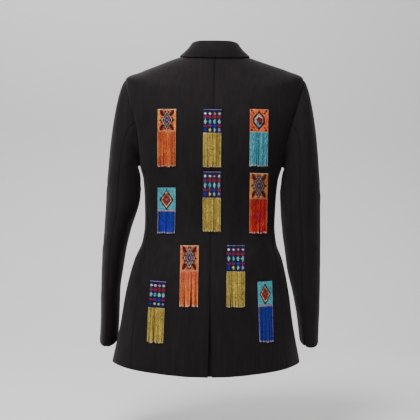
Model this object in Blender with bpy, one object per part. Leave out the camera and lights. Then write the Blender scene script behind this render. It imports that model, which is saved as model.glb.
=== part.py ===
"""Double-breasted blazer, filled out as if worn, with beaded patches and fringes on its back.

Metres, +Z up. The front faces -Y and the wearer's left side is at +X. The origin is on
the centre-back neck seam. Every piece of cloth is a wall of the cloth's own thickness.
Body pieces are cut from one body form, a stack of level rings: a point on it has a
height, which is its ring's height at the centre back, and an angle, which is 0 at the
centre back, 90 at the side seam line and 180 at the centre front.
"""

import math

import bmesh
import bpy
import numpy as np
from mathutils import Vector
from mathutils.bvhtree import BVHTree

NAME = "beaded_blazer"

# Walls and gaps
CLOTH = 0.0016
FACED_CLOTH = 0.0015
SEAM_GAP = 0.0003
PLY_STEP = 0.0030
BEADWORK = 0.0018
LAID_GAP = 0.0009
SETTLE_REACH = 0.012
SETTLE_MOST = 0.003
EDGE_PROBE = 0.0015

# Small steps, in metres and degrees, for finding directions on the form
JUST_BELOW = 0.004
JUST_ASIDE = 3.0
SMALL_HEIGHT = 0.002
SMALL_ANGLE = 1.5

# Body lengths down the centre back
HEM_HEIGHT = -0.700
VENT_TOP = -0.503
BREAK_HEIGHT = -0.350
SIDE_SEAM_TOP = -0.205
SHOULDER_HEIGHT = -0.085

# The rings of the body form. The two powers say how square a ring is at the back and at
# the front: 2 is an ellipse, and more is squarer.
FORM_COLUMNS = ("height", "side_z", "front_z", "half_width", "side_y", "back_y", "front_y",
                "back_power", "front_power")
FORM_ROWS = (
    (-0.700, -0.6815, -0.698, 0.2135, -0.083, 0.0360, -0.208, 2.10, 2.10),
    (-0.600, -0.5990, -0.600, 0.1967, -0.083, 0.0360, -0.204, 2.15, 2.10),
    (-0.520, -0.5200, -0.520, 0.1845, -0.083, 0.0310, -0.198, 2.20, 2.15),
    (-0.450, -0.4500, -0.450, 0.1677, -0.083, 0.0170, -0.188, 2.20, 2.15),
    (-0.410, -0.4100, -0.410, 0.1522, -0.083, 0.0080, -0.181, 2.20, 2.20),
    (-0.370, -0.3700, -0.370, 0.1477, -0.083, 0.0040, -0.178, 2.20, 2.20),
    (-0.320, -0.3200, -0.320, 0.1490, -0.083, 0.0100, -0.190, 2.20, 2.20),
    (-0.270, -0.2700, -0.270, 0.1530, -0.082, 0.0200, -0.206, 2.30, 2.20),
    (-0.235, -0.2350, -0.235, 0.1630, -0.080, 0.0270, -0.209, 2.40, 2.20),
    (-0.160, -0.1550, -0.172, 0.1860, -0.074, 0.0310, -0.187, 2.50, 2.30),
    (-0.120, -0.1000, -0.152, 0.1990, -0.069, 0.0270, -0.172, 2.60, 2.40),
    (-0.085, -0.0422, -0.125, 0.2000, -0.063, 0.0200, -0.153, 2.60, 2.40),
    (-0.055, -0.0245, -0.112, 0.1650, -0.061, 0.0125, -0.143, 2.50, 2.30),
    (-0.027, -0.0098, -0.098, 0.1200, -0.059, 0.0060, -0.133, 2.40, 2.30),
    (0.000, 0.0065, -0.085, 0.0710, -0.057, 0.0000, -0.122, 2.20, 2.20),
)

# How far each level of the body leans to the wearer's left, and turns about the vertical
STANCE_COLUMNS = ("z", "lean", "turn")
STANCE_ROWS = (
    (-0.720, 0.0128, 3.8),
    (-0.540, 0.0118, 3.2),
    (-0.380, 0.0080, 1.6),
    (-0.225, 0.0065, 0.5),
    (-0.100, 0.0015, 0.0),
    (0.060, 0.0000, 0.0),
)
STANCE_AXIS_Y = -0.085

# The wearer's left shoulder is a little lower: by how much, and where across and up the
# body that sets in
SHOULDER_DROP = 0.0050
DROP_ACROSS = (0.085, 0.175)
DROP_UP = (-0.160, -0.060)

# Rows of cloth points up the body: from one level to the next in even steps
LEVEL_SPANS = (
    (HEM_HEIGHT, VENT_TOP, 6),
    (VENT_TOP, BREAK_HEIGHT, 5),
    (BREAK_HEIGHT, SIDE_SEAM_TOP, 7),
)
ARMHOLE_STEPS = 7
SHOULDER_STEPS = 4
BACK_STEPS = 7
SIDE_STEPS = 4
FRONT_STEPS = 8

# Seams that part the side panels from the back and the fronts, as angles on the form
SIDE_SEAM_COLUMNS = ("height", "back_angle", "front_angle")
SIDE_SEAM_ROWS = (
    (-0.700, 52.5, 116.0),
    (-0.520, 56.5, 113.0),
    (-0.370, 69.0, 108.0),
    (-0.300, 71.0, 109.0),
)

# The armhole's lower arc lies within this span round the side seams' top, and the rows of
# the side panel follow it over this length
SIDE_TOP_BELOW = 0.09
SIDE_TOP_ABOVE = 0.06
SIDE_TOP_SHARED = 0.20

# The armhole, seen from the side, is an ellipse with a fuller front
ARMHOLE_Y = -0.070
ARMHOLE_Z = -0.1415
ARMHOLE_RISE = 0.0985
ARMHOLE_BACK = 0.052
ARMHOLE_FRONT = 0.058

# Large soft folds of the back and the front: a line from top to bottom as x and z, how
# wide the fold is to each side of that line, and how far it stands out
FOLD_COLUMNS = ("top_x", "top_z", "bottom_x", "bottom_z", "spread", "stand")
BACK_FOLD_ROWS = (
    (0.040, -0.170, 0.050, -0.440, 0.024, 0.0020),
    (-0.050, -0.100, -0.036, -0.440, 0.024, 0.0022),
    (0.135, -0.385, 0.062, -0.500, 0.022, 0.0030),
    (-0.125, -0.385, -0.070, -0.500, 0.022, 0.0032),
    (0.150, -0.520, 0.172, -0.700, 0.024, 0.0034),
    (-0.146, -0.520, -0.160, -0.700, 0.024, 0.0030),
    (0.092, -0.540, 0.100, -0.700, 0.024, -0.0026),
    (-0.090, -0.540, -0.094, -0.700, 0.024, -0.0024),
)
FRONT_FOLD_ROWS = (
    (0.135, -0.375, 0.080, -0.460, 0.024, 0.0026),
    (-0.135, -0.375, -0.080, -0.460, 0.024, 0.0026),
    (0.120, -0.500, 0.130, -0.700, 0.026, 0.0026),
    (-0.120, -0.500, -0.130, -0.700, 0.026, 0.0026),
)

# Shares of a fold's length over which it fades in and out, and how squarely the cloth has
# to face back or front for its folds to show
FOLD_FADES_IN = (-0.05, 0.40)
FOLD_FADES_OUT = (1.05, 0.60)
FOLDS_FROM = 0.05
FOLDS_FULL = 0.45

# Centre-back vent
VENT_OPEN_LEFT = 0.0034
VENT_OPEN_RIGHT = 0.0042
VENT_SPREADS_BELOW = 0.05
UNDERLAP_TOP = -0.488
UNDERLAP_BOTTOM = -0.6985
UNDERLAP_FROM = -0.036
UNDERLAP_TO = 0.013
UNDERLAP_DEPTH = 0.0009
UNDERLAP_DEEPER = 0.0045
UNDERLAP_STEPS = 3

# Fronts, lapels and collar
OVERLAP = 0.060
NECK_END_ANGLE = 102.0
PLY_FULL_X = 0.068
PLY_NONE_X = 0.140
PLY_FULL_Z = -0.185
PLY_NONE_Z = -0.120
GORGE_DOWN_ROLL = 0.087
FRONT_TOP_DOWN_ROLL = 0.082
NOTCH_FROM_GORGE = (0.054, 0.0115)
PEAK_FROM_GORGE = (0.102, 0.025)
LAPEL_FOOT = 0.012
LAPEL_BELLY = 0.010
LAPEL_STEPS = 14
LAPEL_ROLL_STEPS = 3
LAPEL_LIFT = 0.0016
LAPEL_LIFTS_FROM = 0.62
LAPEL_LIFTS_BY = 0.90
LAPEL_EDGE_POWER = 0.92
NOTCH_FROM_RISE = 0.55

# Columns of a lapel from the roll line to its edge, and how far each bends to the notch
LAPEL_COLUMNS = ("share", "bend")
LAPEL_ROWS = ((0.0, 0.0), (0.15, 0.27), (0.34, 0.62), (0.55, 1.0), (0.78, 0.5), (1.0, 0.0))

# The collar from the centre back to the gorge: where its seam lies on the neck ring, how
# far its fold rises and leans in from there, and where its outer edge lies on the form
COLLAR_COLUMNS = ("station", "seam_angle", "rise", "lean", "edge_height", "edge_angle")
COLLAR_ROWS = (
    (0.00, 0.0, 0.0345, 0.0020, -0.0040, 0.0),
    (0.14, 22.0, 0.0340, 0.0050, -0.0050, 21.0),
    (0.28, 46.0, 0.0300, 0.0110, -0.0072, 43.0),
    (0.42, 68.0, 0.0225, 0.0170, -0.0055, 66.0),
    (0.56, 88.0, 0.0150, 0.0140, -0.0035, 90.0),
    (0.68, 102.0, 0.0045, 0.0050, -0.0120, 109.0),
    (0.80, 102.0, 0.0, 0.0, -0.0225, 124.0),
    (0.90, 102.0, 0.0, 0.0, -0.0310, 133.0),
)
COLLAR_FRONT_STATION = 0.68
COLLAR_DRAPED_FROM = 0.60
COLLAR_DRAPED_BY = 0.80
COLLAR_ROLL_STAND = 0.0028
COLLAR_NECK_FRONT_STEPS = 2
COLLAR_FRONT_STEPS = 5
COLLAR_FALL_STEPS = 3
COLLAR_CLEAR = 0.0015
COLLAR_BELLY = 0.0022
COLLAR_FLAT_FROM = 0.15
COLLAR_FLAT_BY = 0.42
COLLAR_SEAM_GAPS = 1.5

# Sleeves. Rings below the cap: middle height, middle and half sizes, the angle of the
# hind-arm seam round the ring from its outer side, and the forward slope of the ring
SLEEVE_COLUMNS = ("z", "middle_x", "half_x", "middle_y", "half_y", "hind_angle", "slope")
LEFT_SLEEVE_ROWS = (
    (-0.270, 0.2033, 0.0373, -0.0750, 0.0630, 80.0, 0.0),
    (-0.315, 0.2053, 0.0378, -0.0760, 0.0630, 80.0, 0.0),
    (-0.383, 0.2169, 0.0301, -0.0790, 0.0650, 82.0, 2.0),
    (-0.430, 0.2240, 0.0264, -0.0820, 0.0650, 82.0, 5.0),
    (-0.474, 0.2287, 0.0242, -0.0870, 0.0635, 84.0, 8.0),
    (-0.520, 0.2325, 0.0214, -0.0930, 0.0620, 86.0, 11.0),
    (-0.575, 0.2340, 0.0208, -0.1000, 0.0590, 86.0, 13.0),
    (-0.635, 0.2371, 0.0210, -0.1080, 0.0560, 85.0, 13.0),
)
RIGHT_SLEEVE_ROWS = (
    (-0.270, 0.1968, 0.0432, -0.0750, 0.0620, 98.0, 0.0),
    (-0.315, 0.1970, 0.0452, -0.0760, 0.0600, 98.0, 0.0),
    (-0.383, 0.2000, 0.0433, -0.0780, 0.0580, 96.0, 2.0),
    (-0.430, 0.2037, 0.0402, -0.0800, 0.0570, 98.0, 5.0),
    (-0.474, 0.2072, 0.0372, -0.0840, 0.0555, 104.0, 8.0),
    (-0.520, 0.2134, 0.0315, -0.0890, 0.0545, 114.0, 11.0),
    (-0.575, 0.2185, 0.0255, -0.0950, 0.0525, 123.0, 13.0),
    (-0.634, 0.2225, 0.0212, -0.1030, 0.0510, 126.0, 13.0),
)
FRONT_ARM_ANGLE = 285.0
CAP_STAGES = (0.0, 0.10, 0.22, 0.38, 0.56, 0.77, 1.0)
SLEEVE_STEPS = 10
HIND_SEAM_STEP = 5
FRONT_SEAM_STEP = 12
STEPS_ROUND = ARMHOLE_STEPS * 2 + SIDE_STEPS
CAP_LEAVES = 0.010
CAP_LEAVES_MORE = 0.009
CAP_DROP = 0.08
CAP_DROP_MORE = 0.45
CAP_SWELL = 0.66
CAP_FORWARD = 0.12
ARRIVES_OVER = 0.01
FIRST_ROW_LEAN = 0.6
CORNER_INSET = 0.01
CUFF_VENT_TOP = -0.545
CUFF_VENT_OPEN = 0.0042
CUFF_VENT_SPREADS_BELOW = 0.06

# Buttons
BUTTON_X = 0.045
BUTTON_HEIGHTS = (-0.375, -0.480)
BUTTON_RADIUS = 0.0105
BUTTON_FOOT_RADIUS = 0.0090
BUTTON_THICK = 0.0032
BUTTON_RIM = 0.0022
BUTTON_DISH = 0.0008
BUTTON_SIDES = 14
BUTTON_CLEAR = 0.0010

# Beadwork patches on the back: middle of the top edge, width seen from behind and height
# of the beaded panel, length of its fringe, sideways slant of its middle line, and the
# colours of the panel's ground and of the fringe
PATCH_COLUMNS = ("name", "x", "top_z", "wide", "high", "fringe", "slant", "ground", "strand")
PATCH_ROWS = (
    ("01", 0.1031, -0.1199, 0.0400, 0.0481, 0.0775, 0.000, "orange", "orange"),
    ("02", 0.0046, -0.1199, 0.0398, 0.0511, 0.0758, 0.000, "navy", "gold"),
    ("03", -0.0965, -0.1182, 0.0404, 0.0486, 0.0761, 0.000, "orange", "turquoise"),
    ("04", 0.1028, -0.2895, 0.0402, 0.0518, 0.0510, 0.000, "turquoise", "blue"),
    ("05", 0.0040, -0.2543, 0.0396, 0.0565, 0.0761, 0.000, "navy", "gold"),
    ("06", -0.0983, -0.2556, 0.0404, 0.0558, 0.0792, 0.000, "amber", "red"),
    ("07", 0.0513, -0.4161, 0.0400, 0.0549, 0.0783, 0.000, "orange", "orange"),
    ("08", -0.0494, -0.4148, 0.0406, 0.0569, 0.0784, 0.000, "navy", "gold"),
    ("09", 0.1192, -0.4944, 0.0360, 0.0571, 0.0772, 0.035, "navy", "gold"),
    ("10", -0.1135, -0.4938, 0.0330, 0.0534, 0.0805, -0.034, "turquoise", "blue"),
)
PATCH_STEPS = 4
STRANDS = 16
STRAND_WIDTH = 0.0017
STRAND_DEPTH = 0.0016
STRAND_BENDS = 2
STRAND_SWINGS_OUT = 0.0006
STRAND_UNEVEN = 0.004
UNEVEN_TURN = 2.4
ROOT_STRIP = 0.0030
ROOT_STEPS = 3

# How matt each finish is, from 0 to 1
WOOL_ROUGH = 0.85
BUTTON_ROUGH = 0.30
BEAD_ROUGH = 0.35
SHARP_FROM = 50.0

# Colours as red, green and blue light from 0 to 1
COLOURS = {
    "wool": (0.0090, 0.0078, 0.0082),
    "button": (0.0080, 0.0075, 0.0075),
    "orange": (0.6600, 0.1250, 0.0300),
    "amber": (0.7400, 0.3000, 0.0800),
    "navy": (0.0070, 0.0090, 0.0600),
    "turquoise": (0.0800, 0.3800, 0.4800),
    "gold": (0.4300, 0.3100, 0.0620),
    "blue": (0.0120, 0.0340, 0.3600),
    "red": (0.5500, 0.0160, 0.0140),
}


def table(columns, rows):
    """The rows as one array for each named column."""
    return {name: np.array([row[i] for row in rows]) for i, name in enumerate(columns)}


FORM = table(FORM_COLUMNS, FORM_ROWS)
STANCE = table(STANCE_COLUMNS, STANCE_ROWS)


def through(knots, values, at):
    """Smooth curve through the knots that never overshoots them (monotone cubic)."""
    knots = np.asarray(knots, float)
    values = np.asarray(values, float)
    step = np.diff(knots)
    slope = np.diff(values) / step
    tangent = np.zeros(len(knots))
    same_way = slope[:-1] * slope[1:] > 0
    before = 2 * step[1:] + step[:-1]
    after = step[1:] + 2 * step[:-1]
    weights = before / np.where(same_way, slope[:-1], 1) + after / np.where(same_way, slope[1:], 1)
    tangent[1:-1] = np.where(same_way, (before + after) / weights, 0)
    tangent[0] = slope[0]
    tangent[-1] = slope[-1]
    at = np.clip(at, knots[0], knots[-1])
    i = np.clip(np.searchsorted(knots, at) - 1, 0, len(step) - 1)
    t = (at - knots[i]) / step[i]
    return ((1 + 2 * t) * (1 - t) ** 2 * values[i] + t * (1 - t) ** 2 * step[i] * tangent[i]
            + t ** 2 * (3 - 2 * t) * values[i + 1] + t ** 2 * (t - 1) * step[i] * tangent[i + 1])


def ramp(value, zero_at, one_at):
    """0 at one value and 1 at the other, with a soft start and end."""
    t = np.clip((value - zero_at) / (one_at - zero_at), 0, 1)
    return t * t * (3 - 2 * t)


def unit(vectors):
    return vectors / np.linalg.norm(vectors, axis=-1, keepdims=True)


def bare_form(height, angle):
    """Point of the body form on the wearer's left, before folds and stance."""
    height, angle = np.broadcast_arrays(np.asarray(height, float), np.asarray(angle, float))
    ring = {name: through(FORM["height"], FORM[name], height) for name in FORM_COLUMNS[1:]}
    sine = np.sin(np.radians(angle))
    cosine = np.cos(np.radians(angle))
    back = cosine >= 0
    power = 2 / np.where(back, ring["back_power"], ring["front_power"])
    across = np.sign(sine) * np.abs(sine) ** power
    along = np.abs(cosine) ** power
    end_y = np.where(back, ring["back_y"], ring["front_y"])
    middle_z = np.where(back, height, ring["front_z"])
    return np.stack([
        ring["half_width"] * across,
        ring["side_y"] + (end_y - ring["side_y"]) * along,
        middle_z + (ring["side_z"] - middle_z) * across ** 2,
    ], axis=-1)


def form_normal(height, angle):
    """Outward direction of the body form."""
    top = np.minimum(np.asarray(height, float) + SMALL_HEIGHT, 0.0)
    up = bare_form(top, angle) - bare_form(top - 2 * SMALL_HEIGHT, angle)
    forward = bare_form(height, angle + SMALL_ANGLE) - bare_form(height, angle - SMALL_ANGLE)
    return unit(np.cross(up, forward))


def fold_stand(points, rows, facing):
    """How far the folds of one face, back or front, stand out at the points."""
    total = np.zeros(points.shape[:-1])
    for row in rows:
        fold = dict(zip(FOLD_COLUMNS, row))
        top = np.array([fold["top_x"], fold["top_z"]])
        run = np.array([fold["bottom_x"], fold["bottom_z"]]) - top
        length = np.linalg.norm(run)
        offset = points[..., [0, 2]] - top
        down = (offset @ run) / length ** 2
        aside = (offset[..., 0] * run[1] - offset[..., 1] * run[0]) / length
        shape = np.exp(-(aside / fold["spread"]) ** 2)
        faded = 1.0 if fold["bottom_z"] <= HEM_HEIGHT else ramp(down, *FOLD_FADES_OUT)
        total += fold["stand"] * shape * ramp(down, *FOLD_FADES_IN) * faded
    return total * facing


def stance(points):
    """The body's slight lean and turn, with the left shoulder a little lower."""
    lean = through(STANCE["z"], STANCE["lean"], points[..., 2])
    turn = np.radians(through(STANCE["z"], STANCE["turn"], points[..., 2]))
    x = points[..., 0]
    y = points[..., 1] - STANCE_AXIS_Y
    drop = SHOULDER_DROP * ramp(x, *DROP_ACROSS) * ramp(points[..., 2], *DROP_UP)
    return np.stack([
        x * np.cos(turn) - y * np.sin(turn) + lean,
        x * np.sin(turn) + y * np.cos(turn) + STANCE_AXIS_Y,
        points[..., 2] - drop,
    ], axis=-1)


def stance_direction(directions, points):
    """Directions turned as the body turns at the points."""
    turn = np.radians(through(STANCE["z"], STANCE["turn"], points[..., 2]))
    x = directions[..., 0]
    y = directions[..., 1]
    return np.stack([x * np.cos(turn) - y * np.sin(turn), x * np.sin(turn) + y * np.cos(turn),
                     directions[..., 2]], axis=-1)


def body(height, angle, side, out=0.0):
    """Points and outward directions on the blazer's outer face. side is 1 on the wearer's
    left and -1 on the right; out moves the points off the face."""
    points = bare_form(height, angle)
    normals = form_normal(height, angle)
    mirror = np.array([side, 1.0, 1.0])
    points = points * mirror
    normals = normals * mirror
    backness = ramp(normals[..., 1], FOLDS_FROM, FOLDS_FULL)
    frontness = ramp(normals[..., 1], -FOLDS_FROM, -FOLDS_FULL)
    stand = fold_stand(points, BACK_FOLD_ROWS, backness)
    stand = stand + fold_stand(points, FRONT_FOLD_ROWS, frontness)
    points = points + normals * (stand + out)[..., None]
    return stance(points), stance_direction(normals, points)


def bisect(positive, low, high):
    """The arguments between low and high where the function passes from plus to minus."""
    low = np.array(low, float)
    high = np.array(high, float)
    for _ in range(40):
        middle = (low + high) / 2
        plus = positive(middle) > 0
        low = np.where(plus, middle, low)
        high = np.where(plus, high, middle)
    return (low + high) / 2


def armhole_outside(points):
    """Positive outside the armhole's outline and negative inside it."""
    y = points[..., 1] - ARMHOLE_Y
    half = np.where(y > 0, ARMHOLE_BACK, ARMHOLE_FRONT)
    return (y / half) ** 2 + ((points[..., 2] - ARMHOLE_Z) / ARMHOLE_RISE) ** 2 - 1


def armhole_angle(heights, outer_angle):
    """Where the levels meet the armhole, coming from the back (0) or the front (180)."""
    start = np.full(len(heights), float(outer_angle))
    return bisect(lambda angle: armhole_outside(bare_form(heights, angle)), start,
                  np.full(len(heights), 90.0))


def levels():
    """Heights of the rows of cloth points, from the hem to the neck."""
    low = [np.linspace(start, end, steps, endpoint=False) for start, end, steps in LEVEL_SPANS]
    turn = np.linspace(0, math.pi / 2, ARMHOLE_STEPS, endpoint=False)
    armhole = SIDE_SEAM_TOP + (SHOULDER_HEIGHT - SIDE_SEAM_TOP) * np.sin(turn)
    shoulder = np.linspace(SHOULDER_HEIGHT, 0, SHOULDER_STEPS + 1)
    return np.concatenate(low + [armhole, shoulder])


LEVELS = levels()
SEAM_ROWS = sum(steps for _, _, steps in LEVEL_SPANS)
SHOULDER_ROW = SEAM_ROWS + ARMHOLE_STEPS


def side_edge(which, heights):
    """Angle of the edge of the back or a front that faces the side panel, the armhole and
    then the shoulder seam."""
    seam = table(SIDE_SEAM_COLUMNS, SIDE_SEAM_ROWS)
    start = 0.0 if which == "back" else 180.0
    corner = armhole_angle(np.array([SIDE_SEAM_TOP]), start)[0]
    knots = np.append(seam["height"], SIDE_SEAM_TOP)
    angles = np.append(seam[which + "_angle"], corner)
    low = through(knots, angles, heights)
    middle = armhole_angle(np.clip(heights, SIDE_SEAM_TOP, SHOULDER_HEIGHT), start)
    angle = np.where(heights < SIDE_SEAM_TOP - 1e-9, low, middle)
    return np.where(heights > SHOULDER_HEIGHT - 1e-9, 90.0, angle)


def edge_shift(points, normals, inward):
    """Half a seam gap across an edge: inward is any direction that leads into the piece."""
    along = np.gradient(points, axis=0)
    across = unit(np.cross(normals, unit(along)))
    across = across * np.sign((across * inward).sum(-1, keepdims=True))
    return across * SEAM_GAP / 2


def draw_back(points, normals):
    """The grid of points with all four edges drawn back by half a seam gap."""
    moved = points.copy()
    every = slice(None)
    columns = (((every, 0), (every, 1)), ((every, -1), (every, -2)))
    rows = (((0, every), (1, every)), ((-1, every), (-2, every)))
    for edge, neighbour in columns + rows:
        inward = points[neighbour] - points[edge]
        moved[edge] = moved[edge] + edge_shift(points[edge], normals[edge], inward)
    return moved


def new_material(name, colour, roughness):
    material = bpy.data.materials.get(name)
    if material is None:
        material = bpy.data.materials.new(name)
        material.use_nodes = True
        shader = material.node_tree.nodes["Principled BSDF"]
        shader.inputs["Base Color"].default_value = (*colour, 1.0)
        shader.inputs["Roughness"].default_value = roughness
        shader.inputs["Metallic"].default_value = 0.0
        material.diffuse_color = (*colour, 1.0)
    return material


def new_object(name, points, faces, material, collection):
    """A mesh object with its faces turned outward."""
    points = np.asarray(points, float)
    volume = 0.0
    for face in faces:
        for i in range(1, len(face) - 1):
            volume += np.dot(points[face[0]], np.cross(points[face[i]], points[face[i + 1]]))
    if volume < 0:
        faces = [tuple(reversed(face)) for face in faces]
    mesh = bpy.data.meshes.new(name)
    mesh.from_pydata([tuple(point) for point in points], [], faces)
    mesh.update()
    mesh.materials.append(material)
    made = bpy.data.objects.new(name, mesh)
    collection.objects.link(made)
    mesh.shade_smooth()
    mesh.set_sharp_from_angle(angle=math.radians(SHARP_FROM))
    return made


def wall(name, outer, inner, material, collection):
    """A closed wall between two grids of points, rows by columns."""
    rows, columns = outer.shape[:2]
    points = np.concatenate([outer.reshape(-1, 3), inner.reshape(-1, 3)])
    back = rows * columns

    def at(row, column):
        return row * columns + column

    faces = []
    for row in range(rows - 1):
        for column in range(columns - 1):
            a = at(row, column)
            b = at(row, column + 1)
            c = at(row + 1, column + 1)
            d = at(row + 1, column)
            faces += [(a, b, c), (a, c, d)]
            faces += [(back + c, back + b, back + a), (back + d, back + c, back + a)]
    rim = [at(0, column) for column in range(columns)]
    rim += [at(row, columns - 1) for row in range(1, rows)]
    rim += [at(rows - 1, column) for column in range(columns - 2, -1, -1)]
    rim += [at(row, 0) for row in range(rows - 2, 0, -1)]
    for start, end in zip(rim, rim[1:] + rim[:1]):
        faces.append((end, start, back + start, back + end))
    return new_object(name, points, faces, material, collection)


def panel(name, heights, angles, side, material, collection, out=0.0, thick=CLOTH):
    """A body piece: a wall over a grid of heights and angles."""
    points, normals = body(heights, angles, side, out)
    outer = draw_back(points, normals)
    return wall(name, outer, outer - normals * thick, material, collection)


def spread(start, end, steps):
    """Rows of values in even steps from each start to each end."""
    share = np.linspace(0, 1, steps + 1)
    return start[:, None] + (end - start)[:, None] * share


def angle_at_x(heights, x, low, high):
    """The angle at which each level passes a distance x from the middle plane."""
    start = np.full(len(heights), float(low))
    end = np.full(len(heights), float(high))
    return bisect(lambda angle: bare_form(heights, angle)[..., 0] - x, start, end)


def back_angles(side):
    """Grid of angles of one half of the back, open along the vent."""
    gap = VENT_OPEN_LEFT if side > 0 else VENT_OPEN_RIGHT
    widest = HEM_HEIGHT - VENT_SPREADS_BELOW
    opening = gap * ramp(LEVELS, VENT_TOP, widest) / ramp(HEM_HEIGHT, VENT_TOP, widest)
    half_way = bare_form(LEVELS, 45.0)[..., 0] / math.sin(math.radians(45))
    middle = np.degrees(opening / half_way)
    return spread(middle, side_edge("back", LEVELS), BACK_STEPS)


def roll_line():
    """Top and foot of the left roll line seen from the front, as x and z."""
    top = bare_form(0.0, NECK_END_ANGLE)
    foot = bare_form(BREAK_HEIGHT, 180.0)
    return np.array([top[0], top[2]]), np.array([-OVERLAP, foot[2]])


def front_edge(heights):
    """Angle of a front's inner edge: the roll line above the break, straight below it."""
    top, foot = roll_line()

    def beyond_roll(angle):
        points = bare_form(heights, angle)
        share = (points[..., 2] - foot[1]) / (top[1] - foot[1])
        return points[..., 0] - (foot[0] + (top[0] - foot[0]) * share)

    above = bisect(beyond_roll, np.full(len(heights), 91.0), np.full(len(heights), 225.0))
    below = angle_at_x(heights, -OVERLAP, 91.0, 225.0)
    return np.where(heights > BREAK_HEIGHT + 1e-9, above, below)


def ply(points, side):
    """How far the overlap lifts the right front, or sinks the left one."""
    share = ramp(np.abs(points[..., 0]), PLY_NONE_X, PLY_FULL_X)
    share = share * ramp(points[..., 2], PLY_NONE_Z, PLY_FULL_Z)
    return -side * PLY_STEP * share


def make_backs(material, collection):
    heights = np.repeat(LEVELS[:, None], BACK_STEPS + 1, axis=1)
    for side, word in ((1, "left"), (-1, "right")):
        panel("back_" + word, heights, back_angles(side), side, material, collection)


def make_underlap(material, collection):
    """The strip of cloth behind the vent, sewn in at its top and hanging free below."""
    heights = LEVELS[(LEVELS > UNDERLAP_BOTTOM) & (LEVELS < UNDERLAP_TOP)]
    heights = np.concatenate([[UNDERLAP_BOTTOM], heights, [UNDERLAP_TOP]])
    columns = []
    for x in np.linspace(UNDERLAP_FROM, UNDERLAP_TO, UNDERLAP_STEPS + 1):
        columns.append(-math.copysign(1, x) * angle_at_x(heights, -abs(x), 0.0, -60.0))
    angles = np.stack(columns, axis=1)
    grid = np.repeat(heights[:, None], angles.shape[1], axis=1)
    depth = UNDERLAP_DEPTH + UNDERLAP_DEEPER * ramp(grid, UNDERLAP_TOP, HEM_HEIGHT)
    points, normals = body(grid, angles, 1, -CLOTH - depth)
    wall("vent_underlap", points, points - normals * CLOTH, material, collection)


def side_grid():
    """Heights and angles of a side panel. Its top edge is the armhole's lower arc."""
    rows = LEVELS[:SEAM_ROWS + 1]
    angles = spread(side_edge("back", rows), side_edge("front", rows), SIDE_STEPS)
    top_angles = angles[-1]
    low = np.full(len(top_angles), SIDE_SEAM_TOP - SIDE_TOP_BELOW)
    high = np.full(len(top_angles), SIDE_SEAM_TOP + SIDE_TOP_ABOVE)
    tops = bisect(lambda height: armhole_outside(bare_form(height, top_angles)), low, high)
    tops[0] = SIDE_SEAM_TOP
    tops[-1] = SIDE_SEAM_TOP
    near_top = ramp(rows, SIDE_SEAM_TOP - SIDE_TOP_SHARED, SIDE_SEAM_TOP)
    heights = rows[:, None] + near_top[:, None] * (tops - SIDE_SEAM_TOP)[None, :]
    return heights, angles


def make_sides(material, collection):
    heights, angles = side_grid()
    for side, word in ((1, "left"), (-1, "right")):
        panel("side_" + word, heights, angles, side, material, collection)


def make_fronts(material, collection):
    """The fronts. Their top row runs from the shoulder seam along the neck, then down the
    roll line."""
    angles = spread(side_edge("front", LEVELS), front_edge(LEVELS), FRONT_STEPS)
    heights = np.repeat(LEVELS[:, None], FRONT_STEPS + 1, axis=1)
    top, foot = roll_line()
    down = (foot - top) / np.linalg.norm(foot - top)
    neckline = top + down * np.linspace(0, FRONT_TOP_DOWN_ROLL, FRONT_STEPS)[:, None]
    heights[-1, 1:], angles[-1, 1:] = on_front(*neckline.T)
    for side, word in ((1, "left"), (-1, "right")):
        lift = ply(bare_form(heights, angles), side)
        panel("front_" + word, heights, angles, side, material, collection, lift, FACED_CLOTH)


def on_front(x, z):
    """Height and angle of the points of the left front with this x and z."""
    x, z = np.broadcast_arrays(np.asarray(x, float), np.asarray(z, float))

    def above(height):
        half_width = through(FORM["height"], FORM["half_width"], height)
        side_z = through(FORM["height"], FORM["side_z"], height)
        front_z = through(FORM["height"], FORM["front_z"], height)
        share = np.clip(np.abs(x) / half_width, 0, 1)
        return z - (front_z + (side_z - front_z) * share ** 2)

    height = bisect(above, np.full(x.shape, HEM_HEIGHT), np.full(x.shape, 0.0))
    half_width = through(FORM["height"], FORM["half_width"], height)
    power = through(FORM["height"], FORM["front_power"], height)
    sine = np.clip(np.abs(x) / half_width, 0, 1) ** (power / 2)
    return height, 180.0 - np.copysign(np.degrees(np.arcsin(sine)), x)


def gorge():
    """Left gorge point on the roll line, with the line's unit direction, as x and z."""
    top, foot = roll_line()
    up = (top - foot) / np.linalg.norm(top - foot)
    return top - up * GORGE_DOWN_ROLL, up


def lapel_plan():
    """Left lapel seen from the front: rows from the foot to the gorge, and columns from
    the roll line to the outer edge, with the notch as a corner of the last row."""
    point, up = gorge()
    foot = roll_line()[1]
    out = np.array([up[1], -up[0]])
    notch = point + np.array(NOTCH_FROM_GORGE)
    peak = point + np.array(PEAK_FROM_GORGE)
    columns = table(LAPEL_COLUMNS, LAPEL_ROWS)
    rise = np.linspace(0, 1, LAPEL_STEPS + 1)[:, None]
    roll = foot + (point - foot) * rise
    start = foot + out * LAPEL_FOOT
    belly = out * LAPEL_BELLY * np.sin(math.pi * rise)
    edge = start + (peak - start) * rise ** LAPEL_EDGE_POWER + belly
    corner = columns["share"][np.argmax(columns["bend"])]
    notch_bend = notch - (point + (peak - point) * corner)
    late = ramp(rise, NOTCH_FROM_RISE, 1.0)
    plan = [roll + (edge - roll) * share + notch_bend * bend * late
            for share, bend in zip(columns["share"], columns["bend"])]
    return np.stack(plan, axis=1)


def drape_front(plan, side, out):
    """Points and outward directions over plan positions on a front, lifted off its face."""
    heights, angles = on_front(plan[..., 0], plan[..., 1])
    lift = ply(bare_form(heights, angles), side)
    return body(heights, angles, side, lift + out)


def seated_edge(surface, points, normals, aside):
    """Points of an edge moved to the height of the surface just inside that edge."""
    probe = points - aside * EDGE_PROBE
    return points + settled(surface, probe, normals, np.zeros(len(points))) - probe


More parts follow.
